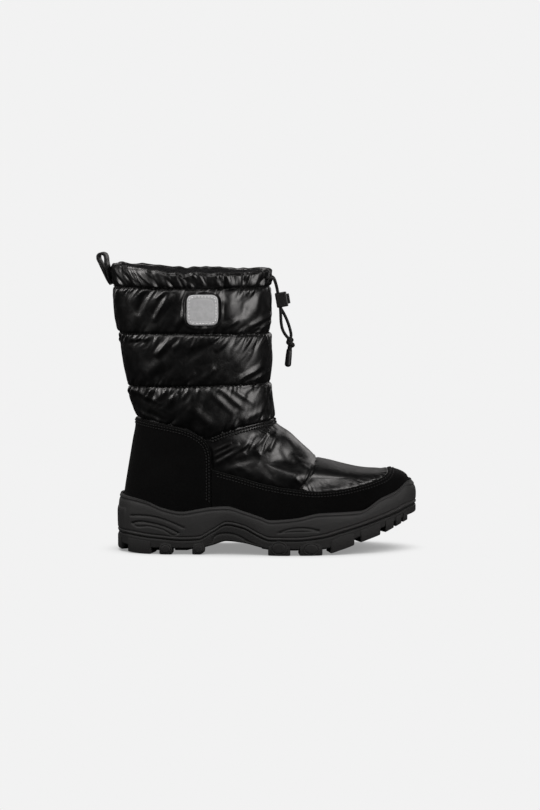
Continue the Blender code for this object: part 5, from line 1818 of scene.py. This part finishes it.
def panel_grid(phases, tops, butt, rows):
    """A suede panel: its face stands a leather's thickness off the cloth and rounds down to it at the cut
    edges, and its back lies on the cloth."""
    step = np.linspace(0.0, 1.0, rows)
    top = PANEL_TOP_SHARE + (1.0 - PANEL_TOP_SHARE) * np.linspace(0.0, 1.0, PANEL_TOP_ROWS)
    share = np.concatenate((step[:-1] * PANEL_TOP_SHARE, top))[:, None]
    level = PANEL_START + share * (tops - PANEL_START)
    phase = np.broadcast_to(phases, level.shape)
    points = shell(phase, level)
    normal = shell_normal(phase, level)
    walked = climbed_up(points)
    edge_gap = walked[-1] - walked
    ends = [np.linalg.norm(points - points[:, side:side + 1 or None], axis=-1) for side in (0, -1)]
    edge_gap = np.minimum(edge_gap, np.minimum(ends[0], ends[1]))
    rounding = np.sqrt(np.clip(1.0 - (1.0 - np.clip(edge_gap / PANEL_ROUND, 0.0, 1.0)) ** 2, 0.0, 1.0))
    face = points + normal * (GAP + LEATHER * rounding)[..., None]
    back = points + normal * GAP
    for grid in (face, back):
        grid[:, 0, 0] += butt
        grid[:, -1, 0] += butt
    return np.concatenate((face, back[-2:0:-4], back[:1]))


class BOOT_OT_suede(bpy.types.Operator):
    """Suede counter round the heel and suede rand round the forefoot"""

    bl_idname = "boot.suede"
    bl_label = "Suede"

    def execute(self, context):
        for name, (node, top, ends, count, near, butt, rows) in SUEDE_PANELS.items():
            phases = panel_columns(ends[0] * math.pi, ends[1] * math.pi, count, near)
            grid = panel_grid(phases, edge_level(phases, top), butt, rows)
            panel = grid_piece(name, grid, around=False, over=True, weld=True)
            finish_piece(panel, ["suede_nap"], [node])
        return {"FINISHED"}


# Stitching


def inset_line(points, inset):
    """A line of the side view moved to its right hand by an inset."""
    points = np.asarray(points, dtype=float)
    run = unit(np.gradient(points, axis=0))
    return points + inset * np.stack((run[:, 1], -run[:, 0]), axis=-1)


def counter_seam(inset, side):
    """Seam of the counter on one side: along its top from the back, round the corner and down its front."""
    x = np.linspace(-54.0, COUNTER_FRONT_X, 60)
    top = np.column_stack((x, edge("counter_top", x)))
    front = np.column_stack((np.full(40, COUNTER_FRONT_X), np.linspace(87.0, 46.0, 40)))
    corner = inset_line(np.concatenate((top, front)), inset)
    phase, level = side_places(corner[:, 0], corner[:, 1], side)
    back = np.linspace(side * math.pi, phase[0], 60)[:-1]
    back_level = edge_level(back, "counter_top", -inset)
    return np.concatenate((back, phase)), np.concatenate((back_level, level))


def rand_seam(inset):
    """Seam of the rand: its top edge moved down and forward by an inset, from side to side over the toe."""
    x = np.linspace(-39.5, 122.0, 400)
    line = inset_line(np.column_stack((x, edge("rand_top", x))), inset)
    phases = np.linspace(-0.5 * math.pi + 0.03, 0.5 * math.pi - 0.03, 500)
    return phases, level_where(phases, lambda place: np.interp(place, line[:, 0], line[:, 1]))


def stitch_points(path, normal, length, pitch, radius):
    """Copies of one stitch along a path: a spindle of rings that dips at both ends."""
    walked = walked_along(path)
    at = np.arange(0.6 * pitch, walked[-1] - 0.4 * pitch, pitch)
    middle = read_along(at, walked, path)
    up = unit(read_along(at, walked, normal))
    run = unit(read_along(at + 0.2, walked, path) - middle)
    across = np.cross(up, run)
    share = np.array(STITCH_SHARES)
    width = np.array(STITCH_WIDTHS) * radius
    angle = np.linspace(0.0, 2.0 * math.pi, STITCH_SIDES, endpoint=False)
    along = np.broadcast_to((share * length)[:, None], (len(share), len(angle)))
    wide = width[:, None] * np.cos(angle)[None]
    high = width[:, None] * np.sin(angle)[None] - (STITCH_DIP * radius * (2.0 * share) ** 4)[:, None]
    local = np.stack((along, wide, high), axis=-1).reshape(-1, 3)
    axes = np.stack((run, across, up), axis=1)
    return middle[:, None] + np.einsum("pk,nkc->npc", local, axes)


def stitch_piece(name, rows, finish):
    """All the stitches of one kind as one object: each is a small closed grid of its own."""
    points = np.concatenate(rows)
    count, size = points.shape[:2]
    quads = grid_quads(len(STITCH_SHARES), STITCH_SIDES)
    numbers = np.arange(count)[:, None, None] * size + quads[None]
    item = mesh_piece(name, points.reshape(-1, 3), numbers.reshape(-1, 4), weld=True)
    outward(item)
    finish_piece(item, [finish])


def seam_row(phases, levels, lift, length, pitch, radius):
    """Stitches along phases and levels of the upper at a lift over its face."""
    path = offset_shell(phases, levels, lift)
    return stitch_points(path, shell_normal(phases, levels), length, pitch, radius)


class BOOT_OT_stitching(bpy.types.Operator):
    """Double rows of stitches along the counter and the rand, and single rows in the quilting seams"""

    bl_idname = "boot.stitching"
    bl_label = "Stitching"

    def execute(self, context):
        length = context.scene.boot_sizes.stitch / MM
        suede_stitch = (length, length + SUEDE_STITCH_SPACE, SUEDE_STITCH_RADIUS)
        rows = []
        for inset in SUEDE_INSETS:
            for seam in (counter_seam(inset, -1.0), counter_seam(inset, 1.0), rand_seam(inset)):
                rows.append(seam_row(*seam, LEATHER_FACE + SUEDE_STITCH_LIFT, *suede_stitch))
        stitch_piece("suede_stitches", rows, "black_thread")
        phases = np.linspace(-math.pi, math.pi, 900)
        rows = [seam_row(phases, edge_level(phases, name), QUILT_STITCH_LIFT, *QUILT_STITCH)
                for name in ("low_seam", "top_seam", "cuff_seam")]
        phases = np.linspace(-0.5 * math.pi, 0.5 * math.pi, 600)
        for shift in ANKLE_SHIFTS:
            level = edge_level(phases, "ankle_seam", shift)
            lift = ANKLE_STITCH_LIFT + FRONT_FILL * front_share(shell(phases, level)[:, 0])
            rows.append(seam_row(phases, level, lift, *ANKLE_STITCH))
        stitch_piece("quilting_stitches", rows, "black_thread")
        return {"FINISHED"}


# Badge


def badge_outline(half, count):
    """Places round a rounded square: a superellipse of the patch's squareness, as (x, z) steps."""
    angle = np.linspace(0.0, 2.0 * math.pi, count, endpoint=False)
    steps = np.stack((np.cos(angle), np.sin(angle)), axis=-1)
    size = np.sum(np.abs(steps) ** BADGE_SQUARE, axis=-1, keepdims=True) ** (-1.0 / BADGE_SQUARE)
    return half * (steps * size)


def badge_places(share, count):
    """Phases and levels of the upper under a ring of the patch."""
    outline = badge_outline(BADGE_HALF, count) * share
    return side_places(BADGE_X + outline[:, 0], BADGE_Z + outline[:, 1], -1.0)


def badge_grid():
    """The patch: rings from the middle of its face to its rounded rim and back underneath, with a pressed
    line inside the seam."""
    rings = []
    for share in BADGE_RINGS:
        rim = math.sqrt(max(0.0, 1.0 - (max(0.0, share - BADGE_RIM) / (1.0 - BADGE_RIM)) ** 2))
        lift = BADGE_LIFT + BADGE_THICKNESS * (0.25 + 0.75 * rim) - soft_lines(share, BADGE_PRESSED)
        rings.append((share, lift))
    rings += [(share, BADGE_LIFT - BADGE_BACK) for share in BADGE_BACK_RINGS]
    return np.stack([offset_shell(*badge_places(share, BADGE_POINTS), lift) for share, lift in rings])


class BOOT_OT_badge(bpy.types.Operator):
    """Plain stitched patch on the outer side of the shaft"""

    bl_idname = "boot.badge"
    bl_label = "Badge"

    def execute(self, context):
        badge = grid_piece("plain_patch", badge_grid(), weld=True)
        outward(badge)
        finish_piece(badge, ["patch_face"], ["badge_patch"])
        seam = [np.append(values, values[:4]) for values in badge_places(BADGE_SEAM, 240)]
        row = seam_row(*seam, BADGE_LIFT + BADGE_THICKNESS + BADGE_STITCH_LIFT, *BADGE_STITCH)
        stitch_piece("patch_stitches", [row], "pale_thread")
        return {"FINISHED"}


# Pull loop


def loop_grid():
    """The strap: a rounded flat section carried along the loop's middle line and closed at both ends, with
    its surface map."""
    line = rounded_line(LOOP_PATH, LOOP_POINTS)
    near_shift = 0.5 * LOOP_WIDTH * math.sin(LOOP_TURN)
    path = np.column_stack((line[:, 0] + near_shift, np.zeros(len(line)), line[:, 1]))
    tangent = unit(np.gradient(path, axis=0))
    across = np.array((math.sin(LOOP_TURN), math.cos(LOOP_TURN), 0.0))
    thick = unit(np.cross(tangent, across))
    angle = np.linspace(0.0, 2.0 * math.pi, LOOP_SIDES, endpoint=False)
    wide = np.sign(np.cos(angle)) * np.abs(np.cos(angle)) ** LOOP_SQUARE[0] * 0.5 * LOOP_WIDTH
    high = np.sign(np.sin(angle)) * np.abs(np.sin(angle)) ** LOOP_SQUARE[1] * 0.5 * line[:, 2:]
    body = path[:, None] + wide[None, :, None] * across + high[:, :, None] * thick[:, None]
    first, last = [np.repeat(end.mean(axis=1, keepdims=True), LOOP_SIDES, axis=1)
                   for end in (body[:1], body[-1:])]
    return np.concatenate((first, body, last)), surface_map(wide, walked_along(path))


class BOOT_OT_pull_loop(bpy.types.Operator):
    """Webbing loop sewn in at the back of the cuff"""

    bl_idname = "boot.pull_loop"
    bl_label = "Pull loop"

    def execute(self, context):
        grid, uv = loop_grid()
        loop = grid_piece("webbing_loop", grid, uv=uv)
        finish_piece(loop, ["woven_tape"], ["pull_loop"])
        return {"FINISHED"}


# Panel and registration


class BOOT_PT_panel(bpy.types.Panel):
    """Sizes, colours and steps of the boot"""

    bl_label = "Quilted boot"
    bl_idname = "BOOT_PT_panel"
    bl_space_type = "VIEW_3D"
    bl_region_type = "UI"
    bl_category = "Boot"

    def draw(self, context):
        for settings in (context.scene.boot_sizes, context.scene.boot_colours):
            column = self.layout.column(align=True)
            for name in settings.__annotations__:
                column.prop(settings, name)
        column = self.layout.column(align=True)
        for operator in STEPS:
            column.operator(operator.bl_idname)


STEPS = (BOOT_OT_stage, BOOT_OT_drawcord, BOOT_OT_sole, BOOT_OT_insole, BOOT_OT_shaft, BOOT_OT_vamp,
         BOOT_OT_cuff, BOOT_OT_suede, BOOT_OT_stitching, BOOT_OT_badge, BOOT_OT_pull_loop)
CLASSES = (BootSizes, BootColours, *STEPS, BOOT_PT_panel)


def register():
    """Make the settings, steps and panel known."""
    for item in CLASSES:
        bpy.utils.register_class(item)
    bpy.types.Scene.boot_sizes = PointerProperty(type=BootSizes)
    bpy.types.Scene.boot_colours = PointerProperty(type=BootColours)


def unregister():
    """Take the settings, steps and panel away."""
    del bpy.types.Scene.boot_colours
    del bpy.types.Scene.boot_sizes
    for item in reversed(CLASSES):
        bpy.utils.unregister_class(item)


def main():
    """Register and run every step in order."""
    register()
    bpy.ops.boot.stage()
    bpy.ops.boot.drawcord()
    bpy.ops.boot.sole()
    bpy.ops.boot.insole()
    bpy.ops.boot.shaft()
    bpy.ops.boot.vamp()
    bpy.ops.boot.cuff()
    bpy.ops.boot.suede()
    bpy.ops.boot.stitching()
    bpy.ops.boot.badge()
    bpy.ops.boot.pull_loop()


if __name__ == "__main__":
    main()
